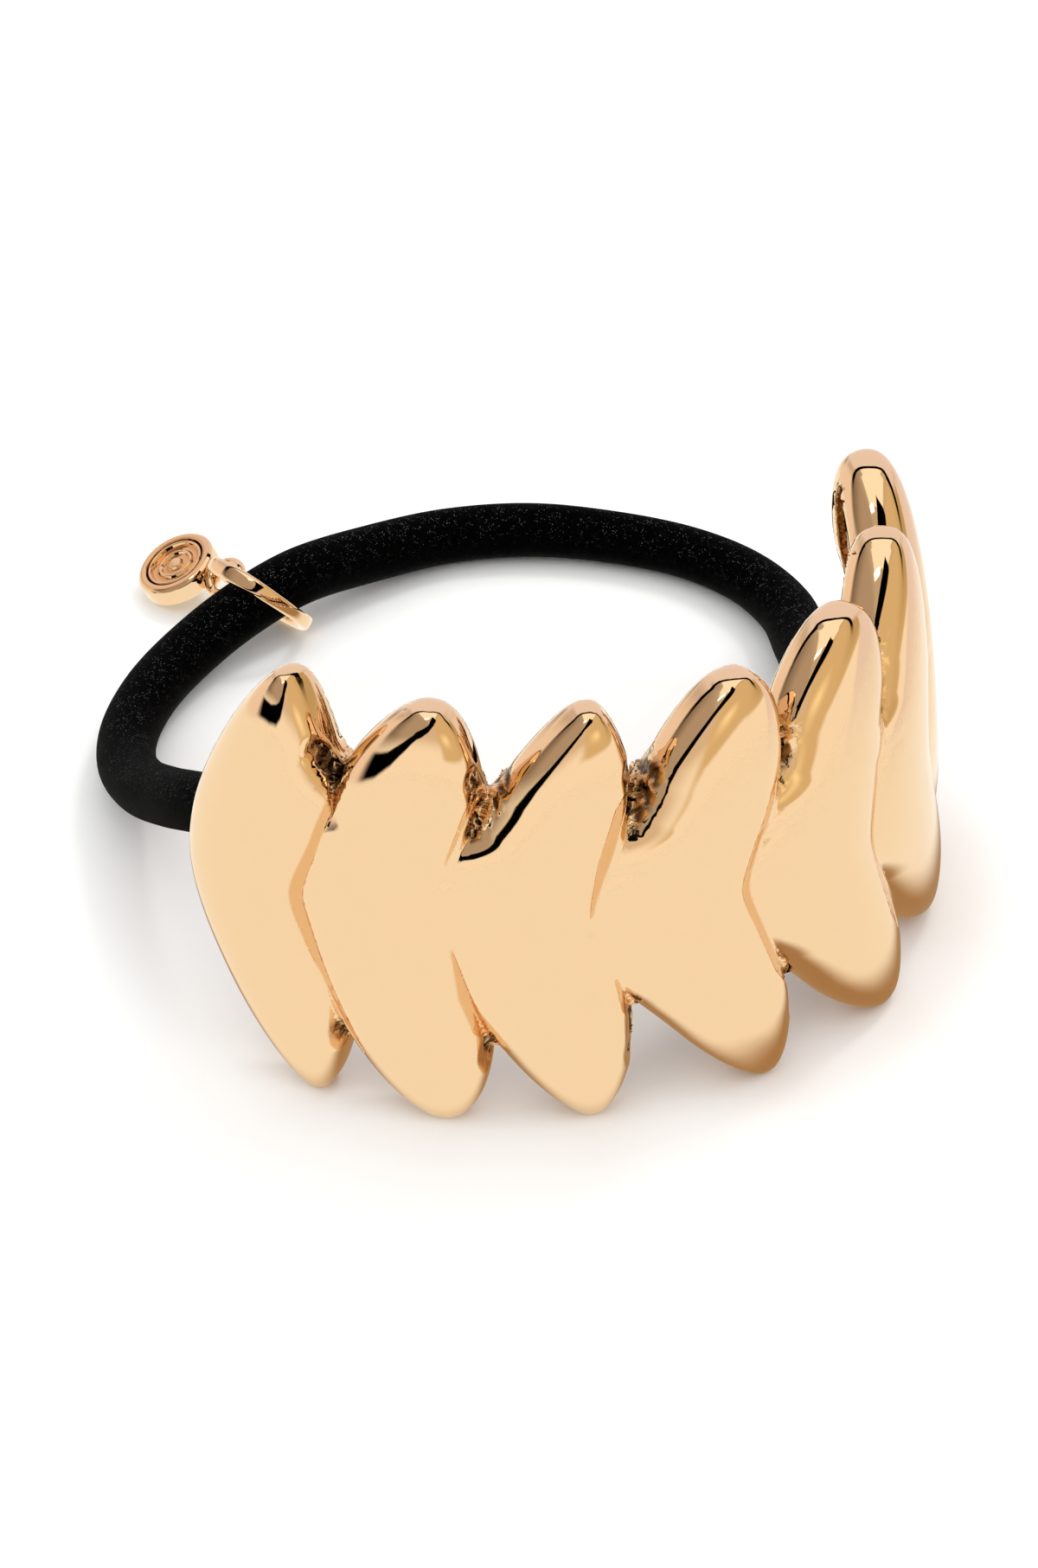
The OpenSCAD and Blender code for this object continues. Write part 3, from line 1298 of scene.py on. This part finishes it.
    def rough_cast(self) -> bpy.types.Mesh:
        """Joins the lobes, cuts the hollows and remeshes the casting.

        Returns:
            The casting, in millimetres.
        """
        sizes = {
            "lobes": (1.0, self.crown, self.crown, 1.0),
            "hollows": (self.hollow_w, self.hollow_front, self.hollow_back, self.hollow_h),
        }
        solids = []
        for name, shares in sizes.items():
            bm = bmesh.new()
            if name == "lobes":
                self.web(bm)
            for lobe in self.lobes:
                self.ball(bm, lobe, shares)
            solids.append(to_scene(name, bm))
            self.remeshed(solids[-1], "merge")
        casting, hollows = solids
        cut = casting.modifiers.new("cut", "BOOLEAN")
        cut.operation = "DIFFERENCE"
        cut.solver = "MANIFOLD"
        cut.object = hollows
        self.remeshed(casting, "even")
        graph = bpy.context.evaluated_depsgraph_get()
        mesh = bpy.data.meshes.new_from_object(casting.evaluated_get(graph))
        for solid in solids:
            data = solid.data
            bpy.data.objects.remove(solid)
            bpy.data.meshes.remove(data)
        return mesh

    def refine(self, bm: BMesh, turn: float, shortest: float) -> int:
        """Splits the edges over which the skin turns most, and settles them.

        Args:
            bm: The mesh, in millimetres.
            turn: The turn in degrees above which an edge is split.
            shortest: Edges shorter than this stay whole.

        Returns:
            How many edges were split.
        """
        points = spots(bm)
        ways = self.normals(points)
        _, groove_and_shade, _ = self.field(points)
        bm.verts.index_update()
        edges = list(bm.edges)
        one, two = np.array([[v.index for v in e.verts] for e in edges]).T
        dots = (ways[one] * ways[two]).sum(1)
        long = np.linalg.norm(points[one] - points[two], axis=1) > shortest
        step = np.abs(groove_and_shade[one] - groove_and_shade[two]) > self.groove_step
        wanted = np.nonzero(((dots < math.cos(math.radians(turn))) | step) & long)[0]
        room = max(0, (self.most_faces - len(bm.faces)) // 2)
        need = np.where(step, 1.0, 1 - dots)
        chosen = [edges[i] for i in wanted[np.argsort(-need[wanted], kind="stable")[:room]]]
        bmesh.ops.subdivide_edges(bm, edges=chosen, cuts=1, use_grid_fill=True)
        bmesh.ops.triangulate(bm, faces=bm.faces)
        self.settle(bm, 3)
        return len(chosen)

    @staticmethod
    def mend(bm: BMesh) -> int:
        """Takes out pairs of faces that lie on each other.

        Args:
            bm: The mesh.

        Returns:
            How many faces went.
        """
        seen: dict[frozenset[int], bmesh.types.BMFace] = {}
        doubled: set[bmesh.types.BMFace] = set()
        bm.verts.index_update()
        for face in bm.faces:
            first = seen.setdefault(frozenset(v.index for v in face.verts), face)
            if first is not face:
                doubled.update((first, face))
        bmesh.ops.delete(bm, geom=list(doubled), context="FACES_ONLY")
        bmesh.ops.delete(bm, geom=[e for e in bm.edges if not e.link_faces], context="EDGES")
        bmesh.ops.delete(bm, geom=[v for v in bm.verts if not v.link_faces], context="VERTS")
        return len(doubled)

    def build(self) -> Piece:
        """Casts the cuff and gives it its normals, the maps of its finish and the map of its
        grooves' painted reflection and shade.

        Returns:
            The cuff.
        """
        mesh = self.rough_cast()
        bm = bmesh.new()
        bm.from_mesh(mesh)
        bpy.data.meshes.remove(mesh)
        self.settle(bm, 5)
        bmesh.ops.triangulate(bm, faces=bm.faces)
        for turn, shortest in self.turns:
            split = self.refine(bm, turn, shortest)
            mended = self.mend(bm)
            LOG.info("cuff: %d split, %d mended, %d faces", split, mended, len(bm.faces))
        points = spots(bm)
        _, groove_and_shade, rough = self.field(points)
        pit = smooth(self.casting(points, rough), *self.pit_deep) * smooth(rough, *self.pit_rough)
        ways = self.normals(points)
        bmesh.ops.scale(bm, vec=(MM, MM, MM), verts=bm.verts)
        bmesh.ops.translate(bm, vec=AXIS * MM, verts=bm.verts)
        piece = new_piece("cast_cuff", bm)
        # The groove map also sets where the grooves' painted reflection and shade go
        for name, values in (("groove_and_shade", groove_and_shade), ("rough", rough), ("pit", pit)):
            layer = piece.data.attributes.new(name, "FLOAT", "POINT")
            layer.data.foreach_set("value", np.clip(values, 0, 1).astype(np.float32))
        piece.data.normals_split_custom_set_from_vertices([tuple(way) for way in ways])
        return piece

    def dress(self, piece: Piece, gold: bpy.types.Material) -> None:
        """Gives the cuff its finish and hides the CAD node's own part."""
        piece.data.materials.append(gold)
        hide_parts("cuff")


@dataclass
class CordLoops:
    """The two cast loops inside the cuff that hold the cord, in millimetres."""

    angles: tuple[float, ...] = (-29.0, 60.0)
    cord_r: float = 20.2
    cord_z: float = 14.5
    strap_width: float = 1.6
    strap_thick: float = 1.1
    bore: float = 2.35
    leg: float = 4.4

    def strap(self, bm: BMesh, angle: float) -> None:
        """Adds one loop: a rounded strap bent over the cord, with two legs.

        Args:
            bm: The mesh to add to.
            angle: Its angle to the right of the front, in degrees.
        """
        before = set(bm.verts)
        outline = bmesh.ops.create_circle(bm, segments=28, radius=1.0)["verts"]
        middle = self.cord_z + (self.bore + self.strap_thick / 2)
        for vert in outline:
            turn = math.atan2(vert.co.y, vert.co.x)
            wide = swollen(math.cos(turn), 0.7) * self.strap_width / 2
            thick = swollen(math.sin(turn), 0.8) * self.strap_thick / 2
            vert.co = (wide, -self.cord_r, middle + thick)
        centre = Vector((0, -self.cord_r, self.cord_z))
        turned = swept(bm, outline, centre, Vector((1, 0, 0)), 180.0, 32)
        last = [g for g in turned["geom_last"] if isinstance(g, bmesh.types.BMVert)]
        for ring in (outline, last):
            edges = [e for e in bm.edges if e.verts[0] in ring and e.verts[1] in ring]
            out = bmesh.ops.extrude_edge_only(bm, edges=edges)["geom"]
            verts = [g for g in out if isinstance(g, bmesh.types.BMVert)]
            bmesh.ops.translate(bm, vec=(0, -self.leg, 0), verts=verts)
            bmesh.ops.contextual_create(bm, geom=verts)
        loop = [v for v in bm.verts if v not in before]
        turn = Matrix.Rotation(math.radians(angle), 3, "Z")
        bmesh.ops.rotate(bm, cent=(0, 0, 0), matrix=turn, verts=loop)

    def build(self) -> Piece:
        """Bends both loops.

        Returns:
            The loops, as one piece.
        """
        bm = bmesh.new()
        for angle in self.angles:
            self.strap(bm, angle)
        bmesh.ops.recalc_face_normals(bm, faces=bm.faces)
        bmesh.ops.translate(bm, vec=AXIS, verts=bm.verts)
        bmesh.ops.scale(bm, vec=(MM, MM, MM), verts=bm.verts)
        return new_piece("cord_loops", bm)

    def dress(self, piece: Piece, gold: bpy.types.Material) -> None:
        """Gives the loops the cuff's finish and hides the cuff's CAD part."""
        piece.data.materials.append(gold)
        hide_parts("cuff")


@dataclass(frozen=True)
class Pose:
    """Where a flat part lies: its middle, and how it leans and then turns."""

    at: Point
    lean: float
    turn: float

    def matrix(self) -> Matrix:
        """Puts the pose as a matrix.

        Returns:
            The matrix from a part in millimetres to metres.
        """
        spot = Matrix.Translation((Vector(self.at) + AXIS) * MM)
        turn = Matrix.Rotation(math.radians(self.turn), 4, "Z")
        lean = Matrix.Rotation(math.radians(self.lean), 4, "Y")
        return spot @ (turn @ lean) @ Matrix.Scale(MM, 4)


# The disc's face: radius and depth below its rim, from the middle out
DISC_FACE: tuple[Span, ...] = (
    (0.0, 0.06),
    (0.46, 0.06),
    (0.56, 0.3),
    (0.98, 0.34),
    (1.1, 0.12),
    (1.26, 0.12),
    (1.38, 0.34),
    (1.8, 0.34),
    (1.9, 0.03),
    (2.06, 0.03),
    (2.11, 0.36),
    (2.2, 0.36),
    (2.25, 0.0),
)


@dataclass
class Charm:
    """The small disc charm and the band ring that holds it on the cord.

    Sizes are in millimetres. The disc's face is a field of rings, a narrow
    dark circle and a flat rim, each up to the radius of its end.
    """

    ring_pose: Pose = Pose((-17.9, 29.55, 3.37), 47.6, 44.6)
    ring_d: float = 8.4
    ring_width: float = 1.1
    ring_thick: float = 0.75
    widening: float = 0.16
    disc_pose: Pose = Pose((-23.7, 34.8, 2.03), 26.9, 198.6)
    disc_d: float = 5.8
    disc_thick: float = 1.6
    disc_round: float = 0.045
    rim_round: float = 0.24
    rim_drop: float = 0.2
    sharpest: float = 20.0
    field_end: float = 2.09
    dark_end: float = 2.24
    rim_end: float = 2.75
    eye_pose: Pose = Pose((-20.3, 32.4, 2.8), 39.9, 211.0)
    eye_d: float = 3.25
    eye_wire: float = 0.72

    def ring(self) -> Piece:
        """Turns the flat band, wider at the middle of each side.

        Returns:
            The band ring.
        """
        bm = bmesh.new()
        outline = bmesh.ops.create_circle(bm, segments=24, radius=1.0)["verts"]
        middle = (self.ring_d - self.ring_thick) / 2
        for vert in outline:
            across = swollen(vert.co.x, 0.75) * self.ring_thick / 2
            vert.co = (middle + across, 0, swollen(vert.co.y, 0.6) * self.ring_width / 2)
        swept(bm, outline, Vector(), UPWARD, 360.0, 120)
        for vert in bm.verts:
            turn = math.atan2(vert.co.y, vert.co.x)
            vert.co.z *= 1 + self.widening * math.cos(2 * turn)
        bmesh.ops.recalc_face_normals(bm, faces=bm.faces)
        bmesh.ops.transform(bm, matrix=self.ring_pose.matrix(), verts=bm.verts)
        return new_piece("band_ring", bm)

    def disc(self) -> Piece:
        """Turns the disc with its plain rings, and adds its eye.

        Returns:
            The disc.
        """
        radius, half = self.disc_d / 2, self.disc_thick / 2
        bm = bmesh.new()
        verts = [bm.verts.new((r, 0, half - low)) for r, low in DISC_FACE]
        flat, side = radius - self.rim_round, half - self.rim_drop
        edge = ((flat, half), (radius, side), (radius, -side), (flat, -half), (0.0, -half))
        verts += [bm.verts.new((r, 0, z)) for r, z in edge]
        for a, b in zip(verts, verts[1:]):
            bm.edges.new((a, b))
        swept(bm, verts, Vector(), UPWARD, 360.0, 96)
        bmesh.ops.remove_doubles(bm, verts=bm.verts, dist=WELD)
        sharp = math.radians(self.sharpest)
        bmesh.ops.bevel(
            bm,
            geom=[e for e in bm.edges if e.is_manifold and e.calc_face_angle() > sharp],
            offset=self.disc_round,
            affect="EDGES",
            segments=3,
            profile=0.5,
            material=-1,
        )
        bmesh.ops.recalc_face_normals(bm, faces=bm.faces)
        self.tint(bm)
        bmesh.ops.transform(bm, matrix=self.disc_pose.matrix(), verts=bm.verts)
        self.eye(bm)
        return new_piece("charm_disc_rings", bm)

    def tint(self, bm: BMesh) -> None:
        """Maps where the disc's face gets the grooves' painted reflection and shade, and the
        tarnish.

        Args:
            bm: The disc, flat and in millimetres.
        """
        half = self.disc_thick / 2
        sunk, pit = bm.verts.layers.float.new("groove_and_shade"), bm.verts.layers.float.new("pit")
        for vert in bm.verts:
            out, low = vert.co.xy.length, half - vert.co.z
            if low > half:
                continue
            # Painted shade: the sunk rings, the field and the rim get the grooves' painted
            # reflection and shade through the sunk layer
            if out < self.field_end:
                vert[sunk] = 1.0 if low > 0.2 else 0.3
            elif out < self.dark_end:
                vert[pit] = 1.0 if low > 0.1 else 0.0
            elif out < self.rim_end:
                vert[sunk] = 0.5

    def eye(self, bm: BMesh) -> None:
        """Adds the eye's thick ring, roughly finished where it joins the disc.

        Args:
            bm: The disc, in its pose.
        """
        before = set(bm.verts)
        outline = bmesh.ops.create_circle(bm, segments=20, radius=self.eye_wire / 2)["verts"]
        middle = (self.eye_d - self.eye_wire) / 2
        for vert in outline:
            vert.co = (middle + vert.co.x, 0, vert.co.y * 1.15)
        swept(bm, outline, Vector(), UPWARD, 360.0, 64)
        made = [v for v in bm.verts if v not in before]
        matrix = self.eye_pose.matrix()
        towards = matrix.inverted() @ (self.disc_pose.matrix() @ Vector())
        aim = math.atan2(towards.y, towards.x)
        for vert in made:
            turn = math.atan2(vert.co.y, vert.co.x)
            near = max(0.0, math.cos(turn - aim)) ** 4
            swell = 1 + near * (0.55 + 0.2 * noise.noise(vert.co * 2.6))
            spine = Vector((math.cos(turn), math.sin(turn), 0)) * middle
            vert.co = spine + (vert.co - spine) * swell
        faces = dict.fromkeys(face for vert in made for face in vert.link_faces)
        bmesh.ops.recalc_face_normals(bm, faces=list(faces))
        bmesh.ops.transform(bm, matrix=matrix, verts=made)

    def build(self) -> list[Piece]:
        """Makes the ring and the disc and returns them."""
        return [self.ring(), self.disc()]

    def dress(self, pieces: Sequence[Piece], gold: bpy.types.Material) -> None:
        """Gives both pieces their finish and hides the CAD nodes' own parts.

        Args:
            pieces: The ring and the disc.
            gold: Their finish.
        """
        for piece, node in zip(pieces, ("charm_ring", "charm_disc")):
            piece.data.materials.append(gold)
            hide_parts(node)


class Measure(Enum):
    """How the direction of a part of the studio is measured, in degrees.

    The gaze is from the object to the camera. The clock runs round it, from
    straight up to the right, and the cone is the angle away from it.
    """

    AZIMUTH = "right of the front"
    ELEVATION = "above the table"
    CONE = "away from the gaze"
    CLOCK = "round the gaze"


AZIMUTH, ELEVATION, CONE, CLOCK = Measure
# A limit past every direction
END = 200.0


@dataclass(frozen=True)
class Patch:
    """A part of the studio that the gold mirrors.

    Each limit is a measure, its lowest and highest value and how soft its
    two ends are.
    """

    colour: Colour
    limits: tuple[tuple[Measure, float, float, float], ...]
    share: float = 1.0


WALLS: Colour = (0.62, 0.55, 0.45)
TAN: Colour = (0.80, 0.70, 0.58)
BLACK: Colour = (0.0, 0.0, 0.0)
FAR_WHITE: Colour = (1.10, 1.09, 1.02)
BACKDROP: Colour = (0.95, 0.90, 0.96)

# The brown left wall, its darker rim, the mustard right wall and its darker
# rim, the pale lamp on the right and the white panel above
WALL_PATCHES = (
    Patch((0.50, 0.43, 0.36), ((CLOCK, -END, -30.0, 10.0),)),
    Patch((0.26, 0.21, 0.17), ((CLOCK, -END, -40.0, 20.0), (CONE, 67.0, END, 17.0))),
    Patch((0.80, 0.66, 0.40), ((CLOCK, 30.0, END, 10.0),)),
    Patch(
        (0.62, 0.48, 0.26),
        ((CLOCK, 40.0, END, 20.0), (CONE, 77.0, END, 17.0), (ELEVATION, 2.5, END, 7.5)),
    ),
    Patch((1.35, 1.25, 0.85), ((AZIMUTH, 26.0, 46.0, 12.0), (ELEVATION, 12.0, 22.0, 8.0)), 0.85),
    Patch((1.25, 1.2, 1.12), ((CLOCK, -24.0, 26.0, 2.0), (CONE, 37.0, END, 1.0))),
)
# The table's far part, seen low all round its left and front
TABLE_PATCHES = (
    Patch(FAR_WHITE, ((ELEVATION, -END, 9.0, 9.0), (AZIMUTH, -END, 15.0, 7.0))),
    Patch(FAR_WHITE, ((ELEVATION, -END, -2.0, 2.0),)),
)
# The brightest light, the backdrop above, to the right and to the left, and
# the dark gap before it
LAST_PATCHES = (
    Patch((6.0, 6.0, 6.0), ((CLOCK, -24.0, -8.0, 4.0), (CONE, 33.5, 38.5, 1.5))),
    Patch(BACKDROP, ((CONE, 87.0, END, 1.0), (CLOCK, -40.0, 52.0, 8.0))),
    Patch(BACKDROP, ((CONE, 103.0, END, 3.0), (CLOCK, 52.0, END, 8.0))),
    Patch((1.0, 0.90, 0.84), ((CONE, 87.0, END, 7.0), (CLOCK, -END, -45.0, 15.0))),
    Patch(BLACK, ((CONE, 79.5, 88.0, 0.5), (ELEVATION, 5.0, END, 5.0), (CLOCK, -60.0, 70.0, 12.0))),
)

# The dark strip beyond the table's left side: azimuth, its middle and half height
STRIP: tuple[Point, ...] = (
    (-130.0, -2.0, 7.0),
    (-62.0, -2.0, 6.0),
    (-48.0, 2.0, 7.0),
    (-36.0, 9.0, 7.0),
    (-14.0, 31.0, 8.5),
    (2.0, 50.0, 12.0),
    (16.0, 60.0, 14.0),
    (32.0, 66.0, 14.0),
    (50.0, 62.0, 0.0),
)


@dataclass
class Studio:
    """The white table and the soft room light round it.

    Sizes are in metres. Under the strip the wall is tan, over a span of
    degrees below it and of azimuths, and the strip ends over a span of its own.
    """

    table_size: float = 3.0
    mirrored_past: float = 1.4
    gaze_up: float = 33.5
    under_strip: Span = (2.0, -8.0)
    under_ends: Span = (20.0, 5.0)
    strip_edge: Span = (1.5, -1.5)
    strip_ends: Span = (50.0, 44.0)
    light: float = 1.3
    key_power: float = 0.6
    key_size: float = 0.12
    key_at: Point = (0.22, 0.30, 0.55)

    @staticmethod
    def lay(name: str, bm: BMesh, finish: Finish) -> Piece:
        """Makes a stage piece of a flat mesh.

        Args:
            name: The piece's name.
            bm: Its mesh, freed here.
            finish: Its finish.

        Returns:
            The piece.
        """
        piece = to_scene(name, bm)
        piece.data.materials.append(finish.make())
        return piece

    def table(self) -> None:
        """Lays the white table top, which the gold doesn't mirror."""
        bm = bmesh.new()
        bmesh.ops.create_grid(bm, x_segments=2, y_segments=2, size=self.table_size / 2)
        self.lay("table", bm, PaleFloor()).visible_glossy = False

    def mirrored_table(self) -> None:
        """Lays the part of the table that the gold mirrors, with a soft rim."""
        finish = MirroredFloor()
        bm = bmesh.new()
        radius = finish.reach[1] * self.mirrored_past
        bmesh.ops.create_circle(bm, cap_ends=True, segments=64, radius=radius)
        piece = self.lay("mirrored_table", bm, finish)
        piece.visible_camera = False
        piece.visible_diffuse = False
        piece.visible_shadow = False
        piece.visible_transmission = False

    def measures(self, sheet: Sheet) -> dict[Measure, Socket]:
        """Measures the direction that is looked along.

        Args:
            sheet: The world's nodes.

        Returns:
            Each measure of the direction, in degrees.
        """
        x, y, z = sheet.parts(sheet.add("TexCoord").outputs["Generated"])
        front = sheet.times(y, -1.0)
        lift = math.radians(self.gaze_up)
        rise, run = math.sin(lift), math.cos(lift)
        along = sheet.math("ADD", sheet.times(front, run), sheet.times(z, rise))
        above = sheet.math("SUBTRACT", sheet.times(z, run), sheet.times(front, rise))
        angles = {
            AZIMUTH: sheet.math("ARCTAN2", x, front),
            ELEVATION: sheet.math("ARCSINE", z),
            CONE: sheet.math("ARCCOSINE", along),
            CLOCK: sheet.math("ARCTAN2", x, above),
        }
        return {way: sheet.times(angle, 180.0 / math.pi) for way, angle in angles.items()}

    @staticmethod
    def cover(sheet: Sheet, ways: dict[Measure, Socket], under: object, patch: Patch) -> Socket:
        """Lays a patch over the colour under it.

        Args:
            sheet: The world's nodes.
            ways: Each measure of the direction.
            under: The colour under the patch.
            patch: The patch.

        Returns:
            The new colour.
        """
        share: object = patch.share
        for measure, low, high, soft in patch.limits:
            rise = sheet.ramp(ways[measure], low - soft, low + soft)
            fall = sheet.ramp(ways[measure], high + soft, high - soft)
            share = sheet.times(share, sheet.times(rise, fall))
        return sheet.mix(share, under, patch.colour)

    @staticmethod
    def along_strip(sheet: Sheet, azimuth: Socket, column: int) -> Socket:
        """Follows one column of the strip's list.

        Args:
            sheet: The world's nodes.
            azimuth: The azimuth.
            column: Which column.

        Returns:
            The column's value at the azimuth.
        """
        total: object = STRIP[0][column]
        for near, far in zip(STRIP, STRIP[1:]):
            step = sheet.add(
                "MapRange",
                Value=azimuth,
                From_Min=near[0],
                From_Max=far[0],
                To_Max=far[column] - near[column],
            )
            total = sheet.math("ADD", total, step.outputs[0])
        return total

    def painted(self, sheet: Sheet) -> Socket:
        """Paints what the gold mirrors of the room.

        Args:
            sheet: The world's nodes.

        Returns:
            The colour of the room in each direction.
        """
        ways = self.measures(sheet)
        azimuth = ways[AZIMUTH]
        colour: object = WALLS
        for patch in WALL_PATCHES:
            colour = self.cover(sheet, ways, colour, patch)
        middle, half = (self.along_strip(sheet, azimuth, column) for column in (1, 2))
        off = sheet.math("SUBTRACT", ways[ELEVATION], middle)
        ends = sheet.ramp(azimuth, *self.under_ends)
        colour = sheet.mix(sheet.times(sheet.ramp(off, *self.under_strip), ends), colour, TAN)
        for patch in TABLE_PATCHES:
            colour = self.cover(sheet, ways, colour, patch)
        over = sheet.math("SUBTRACT", sheet.math("ABSOLUTE", off), half)
        ends = sheet.ramp(azimuth, *self.strip_ends)
        colour = sheet.mix(sheet.times(sheet.ramp(over, *self.strip_edge), ends), colour, BLACK)
        for patch in LAST_PATCHES:
            colour = self.cover(sheet, ways, colour, patch)
        return colour

    def world(self) -> None:
        """Lights the room evenly, and paints what the gold mirrors of it."""
        world = bpy.data.worlds.new("studio")
        bpy.context.scene.world = world
        world.use_nodes = True
        sheet = Sheet(world.node_tree)
        mirrored = sheet.add("Background", Color=self.painted(sheet), Strength=1.0)
        room = sheet.add("Background", Color=(1.0, 1.0, 1.0), Strength=self.light)
        both = sheet.add("MixShader")
        sheet.feed(both.inputs[0], sheet.add("LightPath").outputs["Is Glossy Ray"])
        sheet.feed(both.inputs[1], room.outputs[0])
        sheet.feed(both.inputs[2], mirrored.outputs[0])
        sheet.add("OutputWorld", Surface=both.outputs[0])

    def key_light(self) -> None:
        """Hangs the key light behind, above and to the right."""
        data = bpy.data.lights.new("key", "AREA")
        data.shape = "DISK"
        data.size = self.key_size
        data.energy = self.key_power
        lamp = bpy.data.objects.new("key", data)
        lamp.location = self.key_at
        lamp.rotation_euler = (-lamp.location).to_track_quat("-Z", "Y").to_euler()
        lamp.visible_glossy = False
        bpy.context.scene.collection.objects.link(lamp)

    def build(self) -> None:
        """Sets up the table, the room and the lights."""
        bpy.context.scene.view_settings.view_transform = "Standard"
        self.table()
        self.mirrored_table()
        self.world()
        self.key_light()


def main() -> None:
    """Builds the hair tie's pieces in order and dresses them."""
    logging.basicConfig(level=logging.INFO, format="%(name)s %(message)s")
    PhotoCamera().place()
    cord = ElasticCord()
    cord_piece = cord.build()
    gold = PolishedGold().make()
    charm = Charm()
    charm_pieces = charm.build()
    charm.dress(charm_pieces, gold)
    cord.dress(cord_piece, charm_pieces)
    loops = CordLoops()
    loops.dress(loops.build(), gold)
    cuff = Cuff()
    cuff.dress(cuff.build(), gold)
    Studio().build()


if __name__ == "__main__":
    main()
